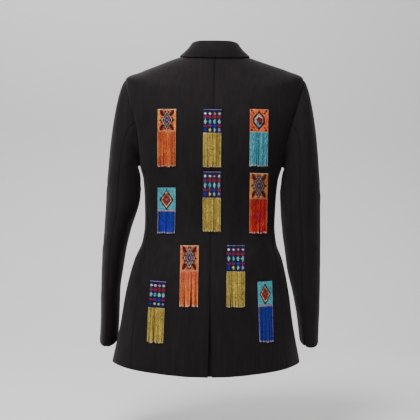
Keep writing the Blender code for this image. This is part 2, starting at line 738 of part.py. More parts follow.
def rolled_edge(edge_points, edge_normals, aside, clear, thick):
    """Outer and inner columns of cloth that turns round an edge. The turn starts at the
    face behind the edge and ends over the front face, clear of it. aside is the direction
    that leads off the edge, and the cloth stands half a seam gap off it."""
    hollow = clear / 2
    middle = edge_points + aside * SEAM_GAP / 2 + edge_normals * hollow[:, None]
    outer = []
    inner = []
    for turn in np.linspace(-math.pi / 2, math.pi / 2, LAPEL_ROLL_STEPS + 1):
        spoke = aside * math.cos(turn) + edge_normals * math.sin(turn)
        outer.append(middle + spoke * (hollow + thick)[:, None])
        inner.append(middle + spoke * hollow[:, None])
    return outer, inner


def make_lapels(material, collection):
    """Each lapel turns round its front's rolled edge and lies back on the front."""
    plan = lapel_plan()
    rise = np.linspace(0, 1, LAPEL_STEPS + 1)
    ply_clear = PLY_STEP - FACED_CLOTH
    clear = ply_clear + LAPEL_LIFT * ramp(rise, LAPEL_LIFTS_FROM, LAPEL_LIFTS_BY)
    thick = np.full(len(rise), FACED_CLOTH)
    for side, word in ((1, "left"), (-1, "right")):
        surface = surface_of(["front_" + word])
        edge_points, edge_normals = drape_front(plan[:, 0], side, 0.0)
        beside = drape_front(plan[:, 1], side, 0.0)[0] - edge_points
        aside = -edge_shift(edge_points, edge_normals, beside) / (SEAM_GAP / 2)
        edge_points = seated_edge(surface, edge_points, edge_normals, aside)
        outer, inner = rolled_edge(edge_points, edge_normals, aside, clear, thick)
        for column in range(1, plan.shape[1]):
            share = column / (plan.shape[1] - 1)
            settle = ply_clear + (clear - ply_clear) * (1 - share) ** 2
            points, normals = drape_front(plan[:, column], side, settle + FACED_CLOTH)
            points = settled(surface, points, normals, settle + FACED_CLOTH)
            outer.append(points)
            inner.append(points - normals * FACED_CLOTH)
        outer = np.stack(outer, axis=1)
        inner = np.stack(inner, axis=1)
        gorge_pull = unit(outer[-2] - outer[-1]) * SEAM_GAP
        outer[-1] += gorge_pull
        inner[-1] += gorge_pull
        wall("lapel_" + word, outer, inner, material, collection)


def collar_stations(side, surface):
    """Sections of half the collar from the centre back to the gorge: station, height and
    angle of the seam on the form, direction of the stand, its rise, and the side it falls
    to."""
    rows = table(COLLAR_COLUMNS, COLLAR_ROWS)
    neck = rows["station"] <= COLLAR_FRONT_STATION
    front_angles = spread(np.full(1, 90.0), front_edge(np.zeros(1)), COLLAR_NECK_FRONT_STEPS)[0, 1:]
    seam_angles = np.append(back_angles(1)[-1], front_angles)
    station = through(rows["seam_angle"][neck], rows["station"][neck], seam_angles)
    rise = through(rows["station"], rows["rise"], station)[:, None]
    lean = through(rows["station"], rows["lean"], station)[:, None]
    seam, normal = body(0.0, seam_angles, side)
    flat = unit(normal * np.array([1.0, 1.0, 0.0]))
    base = seam + unit(seam - body(-JUST_BELOW, seam_angles, side)[0]) * SEAM_GAP * COLLAR_SEAM_GAPS
    stand = seam + np.array([0, 0, 1.0]) * rise - flat * lean - base
    out = unit(flat - stand * (flat * stand).sum(-1, keepdims=True) / (stand ** 2).sum(-1, keepdims=True))
    heights = np.zeros(len(seam_angles))

    point, up = gorge()
    top = roll_line()[0]
    share = np.linspace(0, 1, COLLAR_FRONT_STEPS + 1)[:, None]
    roll_height, roll_angle = on_front(*(top + (point - top) * share).T)
    roll, roll_normal = body(roll_height, roll_angle, side)
    beside = body(roll_height, roll_angle - JUST_ASIDE, side)[0] - roll
    aside = -edge_shift(roll, roll_normal, beside) / (SEAM_GAP / 2)
    roll = seated_edge(surface, roll, roll_normal, aside) + aside * SEAM_GAP
    roll_stand = aside * COLLAR_ROLL_STAND
    roll_station = COLLAR_FRONT_STATION + (1 - COLLAR_FRONT_STATION) * share[:, 0]
    keep = slice(1, None)
    return (np.append(station, roll_station[keep]), np.append(heights, roll_height[keep]),
            np.append(seam_angles, roll_angle[keep]), np.concatenate([base, roll[keep]]),
            np.concatenate([normal, roll_normal[keep]]), np.concatenate([stand, roll_stand[keep]]),
            np.concatenate([out, roll_normal[keep]]))


def collar_half(side, surface):
    """Outer and inner columns of half the collar, from the centre back to the gorge, each
    from the seam, up the stand, over the fold and down to the outer edge."""
    rows = table(COLLAR_COLUMNS, COLLAR_ROWS)
    notch = gorge()[0] + np.array(NOTCH_FROM_GORGE)
    notch_height, notch_angle = on_front(*notch)
    knots = np.append(rows["station"], 1.0)
    station, heights, angles, base, normal, stand, out = collar_stations(side, surface)
    edge_height = through(knots, np.append(rows["edge_height"], notch_height), station)
    edge_angle = through(knots, np.append(rows["edge_angle"], notch_angle), station)
    draped = ramp(station, COLLAR_DRAPED_FROM, COLLAR_DRAPED_BY)[:, None]
    hollow = COLLAR_CLEAR / 2
    up = unit(stand)
    centre = base + stand - up * (hollow + FACED_CLOTH) + out * hollow
    half_way = (base + centre - out * hollow) / 2
    outer = [base - normal * FACED_CLOTH, half_way - out * FACED_CLOTH]
    inner = [base, half_way]
    for turn in np.linspace(math.pi, 0, LAPEL_ROLL_STEPS + 1):
        spoke = out * math.cos(turn) + up * math.sin(turn)
        outer.append(centre + spoke * (hollow + FACED_CLOTH))
        inner.append(centre + spoke * hollow)
    fold_outer = outer[-1]
    lift = np.full(len(station), COLLAR_CLEAR + FACED_CLOTH)
    edge, edge_normal = body(edge_height, edge_angle, side, lift)
    belly = out * COLLAR_BELLY * (1 - ramp(station, COLLAR_FLAT_FROM, COLLAR_FLAT_BY))[:, None]
    for step in range(1, COLLAR_FALL_STEPS + 1):
        share = step / COLLAR_FALL_STEPS
        free = fold_outer + (edge - fold_outer) * share + belly * math.sin(math.pi * share)
        lying, lying_normal = body(heights + (edge_height - heights) * share,
                                   angles + (edge_angle - angles) * share, side, lift)
        lying = settled(surface, lying, lying_normal, lift)
        facing = unit(out * (1 - share) + edge_normal * share) * (1 - draped) + lying_normal * draped
        points = free * (1 - draped) + lying * draped
        outer.append(points)
        inner.append(points - unit(facing) * FACED_CLOTH)
    return np.stack(outer, axis=1), np.stack(inner, axis=1)


def make_collar(material, collection):
    left_outer, left_inner = collar_half(1, surface_of(["front_left"]))
    right_outer, right_inner = collar_half(-1, surface_of(["front_right"]))
    outer = np.concatenate([left_outer[::-1], right_outer[1:]])
    inner = np.concatenate([left_inner[::-1], right_inner[1:]])
    wall("collar", outer, inner, material, collection)


def armhole_loop(side):
    """Points and outward directions round the armhole, from its top down the back edge,
    along the side panel and up the front edge, moved half a seam gap into the hole."""
    rows = np.arange(SHOULDER_ROW, SEAM_ROWS - 1, -1)
    back = body(LEVELS[rows], side_edge("back", LEVELS)[rows], side)
    side_heights, side_angles = side_grid()
    under = body(side_heights[-1], side_angles[-1], side)
    front = body(LEVELS[rows[::-1]], side_edge("front", LEVELS)[rows[::-1]], side)
    points, normals = (np.concatenate([back[i], under[i][1:-1], front[i][:-1]]) for i in range(2))
    along = unit(np.roll(points, -1, axis=0) - np.roll(points, 1, axis=0))
    into = unit(np.cross(normals, along))
    centre = points.mean(axis=0)
    into = into * np.sign((into * (centre - points)).sum(-1, keepdims=True))
    return points + into * SEAM_GAP / 2, normals


def sleeve_ring(rows, z, side):
    """Points of the sleeve at one level, one for each step round, starting at the step
    that meets the armhole's top. The cuff vent opens the hind-arm seam."""
    at = {name: float(through(-rows["z"], rows[name], -z)) for name in SLEEVE_COLUMNS[1:]}
    hind_seam = at["hind_angle"]
    top_count = STEPS_ROUND - FRONT_SEAM_STEP + HIND_SEAM_STEP
    front_seam = FRONT_ARM_ANGLE - 360.0
    top_angles = front_seam + (hind_seam - front_seam) * np.linspace(0, 1, top_count + 1)
    under_count = FRONT_SEAM_STEP - HIND_SEAM_STEP
    under_angles = hind_seam + (FRONT_ARM_ANGLE - hind_seam) * np.linspace(0, 1, under_count + 1)
    rings = []
    for angles in (top_angles, under_angles):
        turn = np.radians(angles)
        x = side * (at["middle_x"] + at["half_x"] * np.cos(turn))
        y = at["middle_y"] + at["half_y"] * np.sin(turn)
        height = z - (y - at["middle_y"]) * math.tan(math.radians(at["slope"]))
        rings.append(np.stack([x, y, height], axis=-1))
    return rings


def sleeve_grids(side, rows):
    """Grids of outer points and outward directions of the top and under sleeves, rows down
    the arm and columns round it."""
    loop, loop_normals = armhole_loop(side)
    count = len(loop)
    parts = (np.arange(FRONT_SEAM_STEP, count + HIND_SEAM_STEP + 1) % count,
             np.arange(HIND_SEAM_STEP, FRONT_SEAM_STEP + 1))
    first = rows["z"][0]
    deeper = np.linspace(first, rows["z"][-1], SLEEVE_STEPS + 1)[1:]
    arm = [sleeve_ring(rows, z, side) for z in deeper]
    biceps = sleeve_ring(rows, first, side)
    below = sleeve_ring(rows, first - ARRIVES_OVER, side)
    grids = []
    for part, steps in enumerate(parts):
        start = loop[steps]
        end = biceps[part]
        across = (end[:, 1] - rows["middle_y"][0]) / rows["half_y"][0]
        leave = CAP_LEAVES + CAP_LEAVES_MORE * across ** 2
        drop = CAP_DROP + CAP_DROP_MORE * across ** 2
        direction = np.stack([np.full(len(steps), float(side)), CAP_FORWARD * across, -drop], axis=-1)
        leaving = start + direction * leave[:, None]
        downward = unit(below[part] - end)
        fall = start[:, 2] - end[:, 2]
        arriving = end - downward * (fall * CAP_SWELL)[:, None]
        cap = []
        for t in CAP_STAGES:
            cap.append(start * (1 - t) ** 3 + leaving * 3 * t * (1 - t) ** 2
                       + arriving * 3 * t ** 2 * (1 - t) + end * t ** 3)
        grids.append(np.array(cap + [rings[part] for rings in arm]))
    return grids, [loop_normals[steps] for steps in parts]


def joined_normals(grids):
    """Outward directions of the top and under sleeves, taken on the whole ring so that
    they agree along both seams."""
    top, under = grids
    ring = np.concatenate([top, under[:, 1:]], axis=1)
    padded = np.concatenate([ring[:, -2:-1], ring, ring[:, 1:2]], axis=1)
    around = padded[:, 2:] - padded[:, :-2]
    down = np.gradient(ring, axis=0)
    normals = unit(np.cross(down, around))
    outward = ring - ring.mean(axis=1, keepdims=True)
    normals = normals * np.sign((normals * outward).sum(-1)[-1].mean())
    columns = top.shape[1]
    return normals[:, :columns], normals[:, columns - 1:]


def make_sleeve(side, word, rows, material, collection):
    rows = table(SLEEVE_COLUMNS, rows)
    grids, loop_normals = sleeve_grids(side, rows)
    normals = joined_normals(grids)
    for part, name in enumerate(("top", "under")):
        grid = grids[part]
        outward = normals[part].copy()
        outward[0] = loop_normals[part]
        outward[1] = unit(outward[1] + FIRST_ROW_LEAN * outward[0])
        gap = np.full(len(grid), SEAM_GAP / 2)
        widest = rows["z"][-1] - CUFF_VENT_SPREADS_BELOW
        hind_gap = gap + CUFF_VENT_OPEN * ramp(grid[:, 0, 2], CUFF_VENT_TOP, widest)
        hind, fore = (-1, 0) if name == "top" else (0, -1)
        moved = grid.copy()
        for edge, space in ((hind, hind_gap), (fore, gap)):
            beside = 1 if edge == 0 else -2
            inward = edge_shift(grid[:, edge], outward[:, edge], grid[:, beside] - grid[:, edge])
            moved[:, edge] += inward / (SEAM_GAP / 2) * space[:, None]
            moved[0, edge] = grid[0, edge] * (1 - CORNER_INSET) + grid[0, beside] * CORNER_INSET
        wall("sleeve_" + word + "_" + name, moved, moved - outward * CLOTH, material, collection)


def make_sleeves(material, collection):
    make_sleeve(1, "left", LEFT_SLEEVE_ROWS, material, collection)
    make_sleeve(-1, "right", RIGHT_SLEEVE_ROWS, material, collection)


def make_buttons(material, collection):
    """Turned buttons on the right front: two columns by two rows."""
    surface = surface_of(["front_right"])
    profile = ((BUTTON_RADIUS - BUTTON_RIM, BUTTON_THICK - BUTTON_DISH),
               (BUTTON_RADIUS - BUTTON_RIM / 2, BUTTON_THICK),
               (BUTTON_RADIUS, BUTTON_THICK / 2),
               (BUTTON_FOOT_RADIUS, 0.0))
    number = 0
    for z in BUTTON_HEIGHTS:
        for x in (-BUTTON_X, BUTTON_X):
            number += 1
            place, normal = body(*on_front(np.array([-x]), np.array([z])), -1)
            place = settled(surface, place, normal, np.full(1, BUTTON_CLEAR))[0]
            mesh = bpy.data.meshes.new("button_%d" % number)
            work = bmesh.new()
            rings = []
            for radius, lift in profile:
                ring = bmesh.ops.create_circle(work, segments=BUTTON_SIDES, radius=radius)["verts"]
                bmesh.ops.translate(work, verts=ring, vec=(0, 0, lift))
                rings.append([edge for edge in work.edges if edge.verts[0] in ring])
            for upper, lower in zip(rings, rings[1:]):
                bmesh.ops.bridge_loops(work, edges=upper + lower)
            bmesh.ops.holes_fill(work, edges=work.edges[:])
            bmesh.ops.recalc_face_normals(work, faces=work.faces[:])
            work.to_mesh(mesh)
            work.free()
            mesh.materials.append(material)
            made = bpy.data.objects.new("button_%d" % number, mesh)
            made.rotation_euler = Vector(normal[0]).to_track_quat("Z", "Y").to_euler()
            made.location = place
            collection.objects.link(made)


def surface_of(names):
    """The named pieces as one surface to lay other pieces on."""
    points = []
    faces = []
    for name in names:
        mesh = bpy.data.objects[name].data
        start = len(points)
        points += [vertex.co.copy() for vertex in mesh.vertices]
        faces += [[start + index for index in polygon.vertices] for polygon in mesh.polygons]
    return BVHTree.FromPolygons(points, faces)


def lay(surface, x, z, out):
    """Points laid on the back from behind at x and z, lifted by out, and their directions.
    Each looks a little to both sides too, so that none falls into a seam."""
    points = np.zeros(x.shape + (3,))
    normals = np.zeros(x.shape + (3,))
    for index in np.ndindex(x.shape):
        hits = [surface.ray_cast((x[index] + step, 1.0, z[index]), (0.0, -1.0, 0.0))
                for step in (-2 * SEAM_GAP, 0.0, 2 * SEAM_GAP)]
        hits = [hit for hit in hits if hit[0] is not None]
        nearest = max(hits, key=lambda hit: hit[0][1])
        points[index] = (x[index], nearest[0][1], z[index])
        normals[index] = nearest[1]
    return points + normals * out, normals


def settled(surface, points, normals, out):
    """The points moved along their directions to lie at this height over the surface."""
    moved = points.copy()
    for index in np.ndindex(points.shape[:-1]):
        start = points[index] + normals[index] * SETTLE_REACH
        hit = surface.ray_cast(tuple(start), tuple(-normals[index]), 2 * SETTLE_REACH)
        if hit[0] is not None and abs(hit[3] - SETTLE_REACH) < SETTLE_MOST + out[index]:
            moved[index] = np.array(hit[0]) + normals[index] * out[index]
    return moved


def patch_frame(row, down, across):
    """x and z of places on a patch: down from its top edge, across from its middle line."""
    x = row["x"] + row["slant"] * down - across
    z = row["top_z"] - down - row["slant"] * across
    return x, z


def make_patches(collection):
    surface = surface_of(["back_left", "back_right", "side_left", "side_right"])
    for values in PATCH_ROWS:
        row = dict(zip(PATCH_COLUMNS, values))
        shares = np.linspace(0, 1, PATCH_STEPS + 1)
        down, across = np.meshgrid(shares * row["high"], (shares - 0.5) * row["wide"], indexing="ij")
        points, normals = lay(surface, *patch_frame(row, down, across), LAID_GAP + BEADWORK)
        normals = unit(normals + normals.mean(axis=(0, 1)))
        ground = new_material("beads_" + row["ground"], COLOURS[row["ground"]], BEAD_ROUGH)
        wall("bead_panel_" + row["name"], points, points - normals * BEADWORK, ground, collection)
        make_fringe(row, surface, collection)


def make_fringe(row, surface, collection):
    """A root strip under the beaded panel with three-sided strands hanging from it. Each
    strand's section is a triangle with its base on the strip's outer face."""
    pitch = row["wide"] / STRANDS
    centres = (np.arange(STRANDS) - (STRANDS - 1) / 2) * pitch
    root = row["high"] + SEAM_GAP
    fringe_top = root + ROOT_STRIP
    uneven = np.abs(np.sin(np.arange(STRANDS) * UNEVEN_TURN))
    ends = root + row["fringe"] - STRAND_UNEVEN * uneven
    vertices = []
    faces = []

    def add(down, across, out):
        x, z = patch_frame(row, np.array([down]), np.array([across]))
        vertices.append(lay(surface, x, z, LAID_GAP + out)[0][0])
        return len(vertices) - 1

    half = row["wide"] / 2
    root_places = np.linspace(-half, half, ROOT_STEPS + 1)
    top_front = [add(root, across, STRAND_DEPTH) for across in root_places]
    top_back = [add(root, across, 0.0) for across in root_places]
    front_line = [add(fringe_top, -half, STRAND_DEPTH)]
    back_line = [add(fringe_top, -half, 0.0)]
    for strand, across in enumerate(centres):
        ring = [add(fringe_top, across - STRAND_WIDTH / 2, STRAND_DEPTH),
                add(fringe_top, across + STRAND_WIDTH / 2, STRAND_DEPTH),
                add(fringe_top, across, 0.0)]
        if strand == 0:
            faces.append((front_line[0], ring[0], ring[2], back_line[0]))
        else:
            faces.append((front_line[-1], ring[0], ring[2], back_line[-1]))
        front_line += ring[:2]
        back_line.append(ring[2])
        for bend in range(1, STRAND_BENDS + 1):
            down = fringe_top + (ends[strand] - fringe_top) * bend / STRAND_BENDS
            lower = [add(down, across - STRAND_WIDTH / 2, STRAND_DEPTH + STRAND_SWINGS_OUT),
                     add(down, across + STRAND_WIDTH / 2, STRAND_DEPTH + STRAND_SWINGS_OUT),
                     add(down, across, STRAND_SWINGS_OUT)]
            for i in range(3):
                j = (i + 1) % 3
                faces.append((ring[i], ring[j], lower[j], lower[i]))
            ring = lower
        faces.append(tuple(ring))
    end_front = add(fringe_top, half, STRAND_DEPTH)
    end_back = add(fringe_top, half, 0.0)
    faces.append((front_line[-1], end_front, end_back, back_line[-1]))
    front_line.append(end_front)
    back_line.append(end_back)
    faces.append(tuple(top_front[::-1] + front_line))
    faces.append(tuple(top_back + back_line[::-1]))
    for i in range(ROOT_STEPS):
        faces.append((top_front[i], top_front[i + 1], top_back[i + 1], top_back[i]))
    faces.append((top_front[0], top_back[0], back_line[0], front_line[0]))
    faces.append((top_front[-1], front_line[-1], back_line[-1], top_back[-1]))
    strand_material = new_material("strands_" + row["strand"], COLOURS[row["strand"]], BEAD_ROUGH)
    consistent_object("fringe_" + row["name"], vertices, faces, strand_material, collection)


def consistent_object(name, vertices, faces, material, collection):
    """An object whose faces are first made to agree with each other."""
    mesh = bpy.data.meshes.new(name)
    mesh.from_pydata([tuple(vertex) for vertex in vertices], [], faces)
    work = bmesh.new()
    work.from_mesh(mesh)
    bmesh.ops.triangulate(work, faces=work.faces[:])
    bmesh.ops.recalc_face_normals(work, faces=work.faces[:])
    work.to_mesh(mesh)
    work.free()
    mesh.materials.append(material)
    made = bpy.data.objects.new(name, mesh)
    collection.objects.link(made)


def main():
    for existing in list(bpy.data.objects):
        bpy.data.objects.remove(existing, do_unlink=True)
    collection = bpy.data.collections.new(NAME)
    bpy.context.scene.collection.children.link(collection)
    wool = new_material("wool", COLOURS["wool"], WOOL_ROUGH)
    make_backs(wool, collection)
    make_underlap(wool, collection)
    make_sides(wool, collection)
    make_fronts(wool, collection)
    make_lapels(wool, collection)
    make_collar(wool, collection)
    make_sleeves(wool, collection)
    make_buttons(new_material("button", COLOURS["button"], BUTTON_ROUGH), collection)
    make_patches(collection)


main()
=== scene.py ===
"""Looks of the double-breasted blazer: fine cloth, seams, folds, buttons and strung beads.

Metres, +Z up, front towards -Y, the wearer's left at +X, origin on the centre-back neck
seam. A place on the body form is a height, taken at the centre back, and an angle, 0 at
the centre back, 90 at the side and 180 at the centre front.
"""

import math

import bmesh
import bpy
import numpy as np
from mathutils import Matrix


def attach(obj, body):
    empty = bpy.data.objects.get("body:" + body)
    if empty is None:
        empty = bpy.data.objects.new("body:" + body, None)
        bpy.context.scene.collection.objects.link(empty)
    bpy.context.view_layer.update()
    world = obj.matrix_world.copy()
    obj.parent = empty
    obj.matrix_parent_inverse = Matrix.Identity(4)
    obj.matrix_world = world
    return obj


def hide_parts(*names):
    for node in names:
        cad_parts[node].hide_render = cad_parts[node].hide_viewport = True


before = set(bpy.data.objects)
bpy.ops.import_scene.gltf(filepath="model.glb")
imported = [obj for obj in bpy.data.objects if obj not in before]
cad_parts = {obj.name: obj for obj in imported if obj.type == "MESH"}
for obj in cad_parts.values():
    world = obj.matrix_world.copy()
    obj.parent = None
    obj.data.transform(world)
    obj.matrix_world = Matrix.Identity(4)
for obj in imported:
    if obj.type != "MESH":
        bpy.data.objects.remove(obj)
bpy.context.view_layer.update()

# Cloth and seams
CLOTH = 0.0016
FACED_CLOTH = 0.0015
SEAM_GAP = -0.0002
PLY_STEP = 0.0030
EDGE_INSETS = (0.00012, 0.0004, 0.0008, 0.0020, 0.0042)
SEAM_DIP = 0.0011
SEAM_REACH = 0.0017
# How far the painted shade reaches from seams and vents, which darkens the cloth there
PAINTED_SEAM_SHADE_REACH = 0.0015

# Cloth walls: the part of an inset's spacing within which it is kept, how nearly an edge is
# rounded to a full quarter circle, how much of a seam's dip shows inside, the most of the
# wall that a dip takes, where the flat cloth's corner is, the least part of its own
# rectangle that a flat piece covers, and the angle in degrees over which an edge is sharp
INSETS_WITHIN = 0.8
ROUNDED = 0.98
DIPS_INSIDE = 0.6
WALL_KEPT = 0.49
FLAT_CORNER = 0.3
LEAST_AREA = 0.31
SHARP_ANGLE = 50
FREE_ALL_ROUND = (1, 1, 1, 1)

# Small steps up and round the form for its outward direction, and how often a span is
# halved to find a place
STEP_UP = 0.002
STEP_ROUND = 1.5
HALVINGS = 40
UP = np.array([0.0, 0.0, 1.0])

# Body lengths down the centre back
HEM_HEIGHT = -0.700
VENT_TOP = -0.503
BREAK_HEIGHT = -0.350
SIDE_SEAM_TOP = -0.205
SHOULDER_HEIGHT = -0.085

# Rings of the body form
FORM_COLUMNS = ("height", "side_z", "front_z", "half_width", "side_y", "back_y", "front_y",
                "back_power", "front_power")
FORM_ROWS = (
    (-0.700, -0.6815, -0.698, 0.2135, -0.083, 0.0360, -0.208, 2.10, 2.10),
    (-0.600, -0.5990, -0.600, 0.1967, -0.083, 0.0360, -0.204, 2.15, 2.10),
    (-0.520, -0.5200, -0.520, 0.1845, -0.083, 0.0310, -0.198, 2.20, 2.15),
    (-0.450, -0.4500, -0.450, 0.1677, -0.083, 0.0170, -0.188, 2.20, 2.15),
    (-0.410, -0.4100, -0.410, 0.1522, -0.083, 0.0080, -0.181, 2.20, 2.20),
    (-0.370, -0.3700, -0.370, 0.1477, -0.083, 0.0040, -0.178, 2.20, 2.20),
    (-0.320, -0.3200, -0.320, 0.1490, -0.083, 0.0100, -0.190, 2.20, 2.20),
    (-0.270, -0.2700, -0.270, 0.1530, -0.082, 0.0200, -0.206, 2.30, 2.20),
    (-0.235, -0.2350, -0.235, 0.1630, -0.080, 0.0270, -0.209, 2.40, 2.20),
    (-0.160, -0.1550, -0.172, 0.1860, -0.074, 0.0310, -0.187, 2.50, 2.30),
    (-0.120, -0.1000, -0.152, 0.1990, -0.069, 0.0270, -0.172, 2.60, 2.40),
    (-0.085, -0.0422, -0.125, 0.2000, -0.063, 0.0200, -0.153, 2.60, 2.40),
    (-0.055, -0.0245, -0.112, 0.1650, -0.061, 0.0125, -0.143, 2.50, 2.30),
    (-0.027, -0.0098, -0.098, 0.1200, -0.059, 0.0060, -0.133, 2.40, 2.30),
    (0.000, 0.0065, -0.085, 0.0710, -0.057, 0.0000, -0.122, 2.20, 2.20),
)

# How far each level leans to the wearer's left, and turns about the vertical
STANCE_COLUMNS = ("z", "lean", "turn")
STANCE_ROWS = (
    (-0.720, 0.0128, 3.8),
    (-0.540, 0.0118, 3.2),
    (-0.380, 0.0080, 1.6),
    (-0.225, 0.0065, 0.5),
    (-0.100, 0.0015, 0.0),
    (0.060, 0.0000, 0.0),
)
STANCE_AXIS_Y = -0.085

# The wearer's left shoulder is a little lower: by how much, and where across and up the
# body that sets in
SHOULDER_DROP = 0.0050
DROP_ACROSS = (0.085, 0.175)
DROP_UP = (-0.160, -0.060)

# Rows of cloth points: from one level to the next in even steps
LEVEL_SPANS = (
    (HEM_HEIGHT, VENT_TOP, 36),
    (VENT_TOP, BREAK_HEIGHT, 28),
    (BREAK_HEIGHT, SIDE_SEAM_TOP, 28),
)
ARMHOLE_STEPS = 28
SHOULDER_STEPS = 18
BACK_STEPS = 36
SIDE_STEPS = 16
FRONT_STEPS = 40

SIDE_SEAM_COLUMNS = ("height", "back_angle", "front_angle")
SIDE_SEAM_ROWS = (
    (-0.700, 52.5, 116.0),
    (-0.520, 56.5, 113.0),
    (-0.370, 69.0, 108.0),
    (-0.300, 71.0, 109.0),
)

# The armhole seen from the side
ARMHOLE_Y = -0.070
ARMHOLE_Z = -0.1415
ARMHOLE_RISE = 0.0985
ARMHOLE_BACK = 0.052
ARMHOLE_FRONT = 0.058
SIDE_TOP_BETWEEN = (SIDE_SEAM_TOP - 0.09, SIDE_SEAM_TOP + 0.06)
SIDE_TOP_REACH = 0.20

# Folds: a line from top to bottom as x and z, the fold's reach to each side of it, and how
# far the fold stands out
FOLD_COLUMNS = ("top_x", "top_z", "bottom_x", "bottom_z", "spread", "stand")
BACK_FOLD_ROWS = (
    (0.040, -0.170, 0.050, -0.440, 0.022, 0.0036),
    (-0.050, -0.100, -0.036, -0.440, 0.022, 0.0038),
    (0.135, -0.385, 0.062, -0.500, 0.020, 0.0042),
    (-0.125, -0.385, -0.070, -0.500, 0.020, 0.0044),
    (0.150, -0.520, 0.172, -0.700, 0.024, 0.0034),
    (-0.146, -0.520, -0.160, -0.700, 0.024, 0.0030),
    (0.092, -0.540, 0.100, -0.700, 0.024, -0.0026),
    (-0.090, -0.540, -0.094, -0.700, 0.024, -0.0024),
    (0.062, -0.120, 0.066, -0.430, 0.009, 0.0016),
    (0.026, -0.200, 0.030, -0.420, 0.008, 0.0013),
    (-0.030, -0.130, -0.020, -0.400, 0.009, 0.0017),
    (-0.066, -0.140, -0.052, -0.430, 0.010, 0.0015),
    (0.128, -0.350, 0.080, -0.420, 0.007, 0.0016),
    (0.120, -0.395, 0.060, -0.455, 0.007, 0.0015),
    (-0.132, -0.345, -0.092, -0.410, 0.007, 0.0018),
    (-0.128, -0.390, -0.080, -0.450, 0.007, 0.0016),
    (0.150, -0.150, 0.112, -0.300, 0.010, 0.0020),
    (-0.150, -0.150, -0.112, -0.300, 0.010, 0.0020),
    (0.006, -0.470, 0.014, -0.535, 0.006, 0.0010),
    (-0.006, -0.470, -0.014, -0.535, 0.006, 0.0010),
)
FRONT_FOLD_ROWS = (
    (0.135, -0.375, 0.080, -0.460, 0.024, 0.0026),
    (-0.135, -0.375, -0.080, -0.460, 0.024, 0.0026),
    (0.120, -0.500, 0.130, -0.700, 0.026, 0.0026),
    (-0.120, -0.500, -0.130, -0.700, 0.026, 0.0026),
    (0.150, -0.170, 0.120, -0.300, 0.010, 0.0010),
    (-0.150, -0.170, -0.120, -0.300, 0.010, 0.0010),
    (0.128, -0.350, 0.090, -0.400, 0.008, 0.0009),
    (-0.128, -0.350, -0.090, -0.400, 0.008, 0.0009),
)

# Shares of a fold's line over which it sets in and fades, and how far a place is turned
# to the back or front over which folds set in there
FOLD_EASES_IN = (-0.05, 0.40)
FOLD_EASES_OUT = (1.05, 0.60)
FACE_TURNS = (0.05, 0.45)

# Slight waves that worn cloth has all over: their height, how many there are in a metre
# across, how far they wander sideways in radians, how often in a metre down, and the
# heights over which they set in below the shoulders; their strength swings about a mean
# from place to place
WAVE_HEIGHT = 0.0012
WAVES_ACROSS = 22.0
WAVE_WANDER = 1.5
WAVE_BENDS = 2.3
WAVE_FADES = (-0.050, -0.150)
WAVE_MEAN = 0.6
WAVE_SWING = 0.4
WAVE_SWING_X = 20.0
WAVE_SWING_Z = 17.0

# Centre-back vent
VENT_OPEN_LEFT = 0.0034
VENT_OPEN_RIGHT = 0.0042
VENT_EASES_BELOW = 0.05
RING_READ_AT = 45.0
VENT_STARTS = 0.004
UNDERLAP_TOP = -0.488
UNDERLAP_BOTTOM = -0.6994
UNDERLAP_FROM = -0.036
UNDERLAP_TO = 0.013
UNDERLAP_DEPTH = 0.0009
UNDERLAP_DEEPER = 0.0045
UNDERLAP_ROWS = 40
UNDERLAP_COLUMNS = 12
UNDERLAP_BETWEEN = (0.0, -60.0)

# Fronts, lapels and collar
OVERLAP = 0.060
NECK_END_ANGLE = 102.0
FRONT_EDGE_BETWEEN = (91.0, 225.0)
NECK_BLEND = (-0.045, 0.0)
PLY_FULL_X = 0.068
PLY_NONE_X = 0.140
PLY_FULL_Z = -0.185
PLY_NONE_Z = -0.120
GORGE_DOWN_ROLL = 0.087
FRONT_TOP_DOWN_ROLL = 0.082
NOTCH_FROM_GORGE = (0.054, 0.0115)
PEAK_FROM_GORGE = (0.102, 0.025)
LAPEL_FOOT = 0.012
LAPEL_BELLY = 0.010
LAPEL_STEPS = 84
LAPEL_LIFT = 0.0016
LAPEL_LIFTS_UP = (0.62, 0.9)
LAPEL_ACROSS = 25
LAPEL_EDGE_POWER = 0.92
LAPEL_TOP_FREE = 0.7
NOTCH_SETS_IN = (0.55, 1.0)
LAPEL_COLUMNS = ("share", "notch_bend")
LAPEL_ROWS = ((0.0, 0.0), (0.15, 0.27), (0.34, 0.62), (0.55, 1.0), (0.78, 0.5), (1.0, 0.0))
ROLL_STEPS = 8

COLLAR_COLUMNS = ("station", "seam_angle", "rise", "lean", "edge_height", "edge_angle")
COLLAR_ROWS = (
    (0.00, 0.0, 0.0345, 0.0020, -0.0040, 0.0),
    (0.14, 22.0, 0.0340, 0.0050, -0.0050, 21.0),
    (0.28, 46.0, 0.0300, 0.0110, -0.0072, 43.0),
    (0.42, 68.0, 0.0225, 0.0170, -0.0055, 66.0),
    (0.56, 88.0, 0.0150, 0.0140, -0.0035, 90.0),
    (0.68, 102.0, 0.0045, 0.0050, -0.0120, 109.0),
    (0.80, 102.0, 0.0, 0.0, -0.0225, 124.0),
    (0.90, 102.0, 0.0, 0.0, -0.0310, 133.0),
)
COLLAR_FRONT_STATION = 0.68
COLLAR_DRAPED_FROM = 0.60
COLLAR_DRAPED_BY = 0.80
COLLAR_ROLL_STAND = 0.0028
COLLAR_SEAM_LAP = 0.0016
COLLAR_LAP_FROM = 70.0
COLLAR_NECK_STEPS = 44
COLLAR_FRONT_STEPS = 24
COLLAR_FALL_STEPS = 14
COLLAR_CLEAR = 0.0015
COLLAR_BELLY = 0.0022
BELLY_FADES = (0.15, 0.42)
COLLAR_STAND_STEPS = 5
COLLAR_STEP_DOWN = 0.004
COLLAR_STEP_ASIDE = 3
COLLAR_SEAM_FREE = 0.5
COLLAR_ENDS_FREE = 0.7

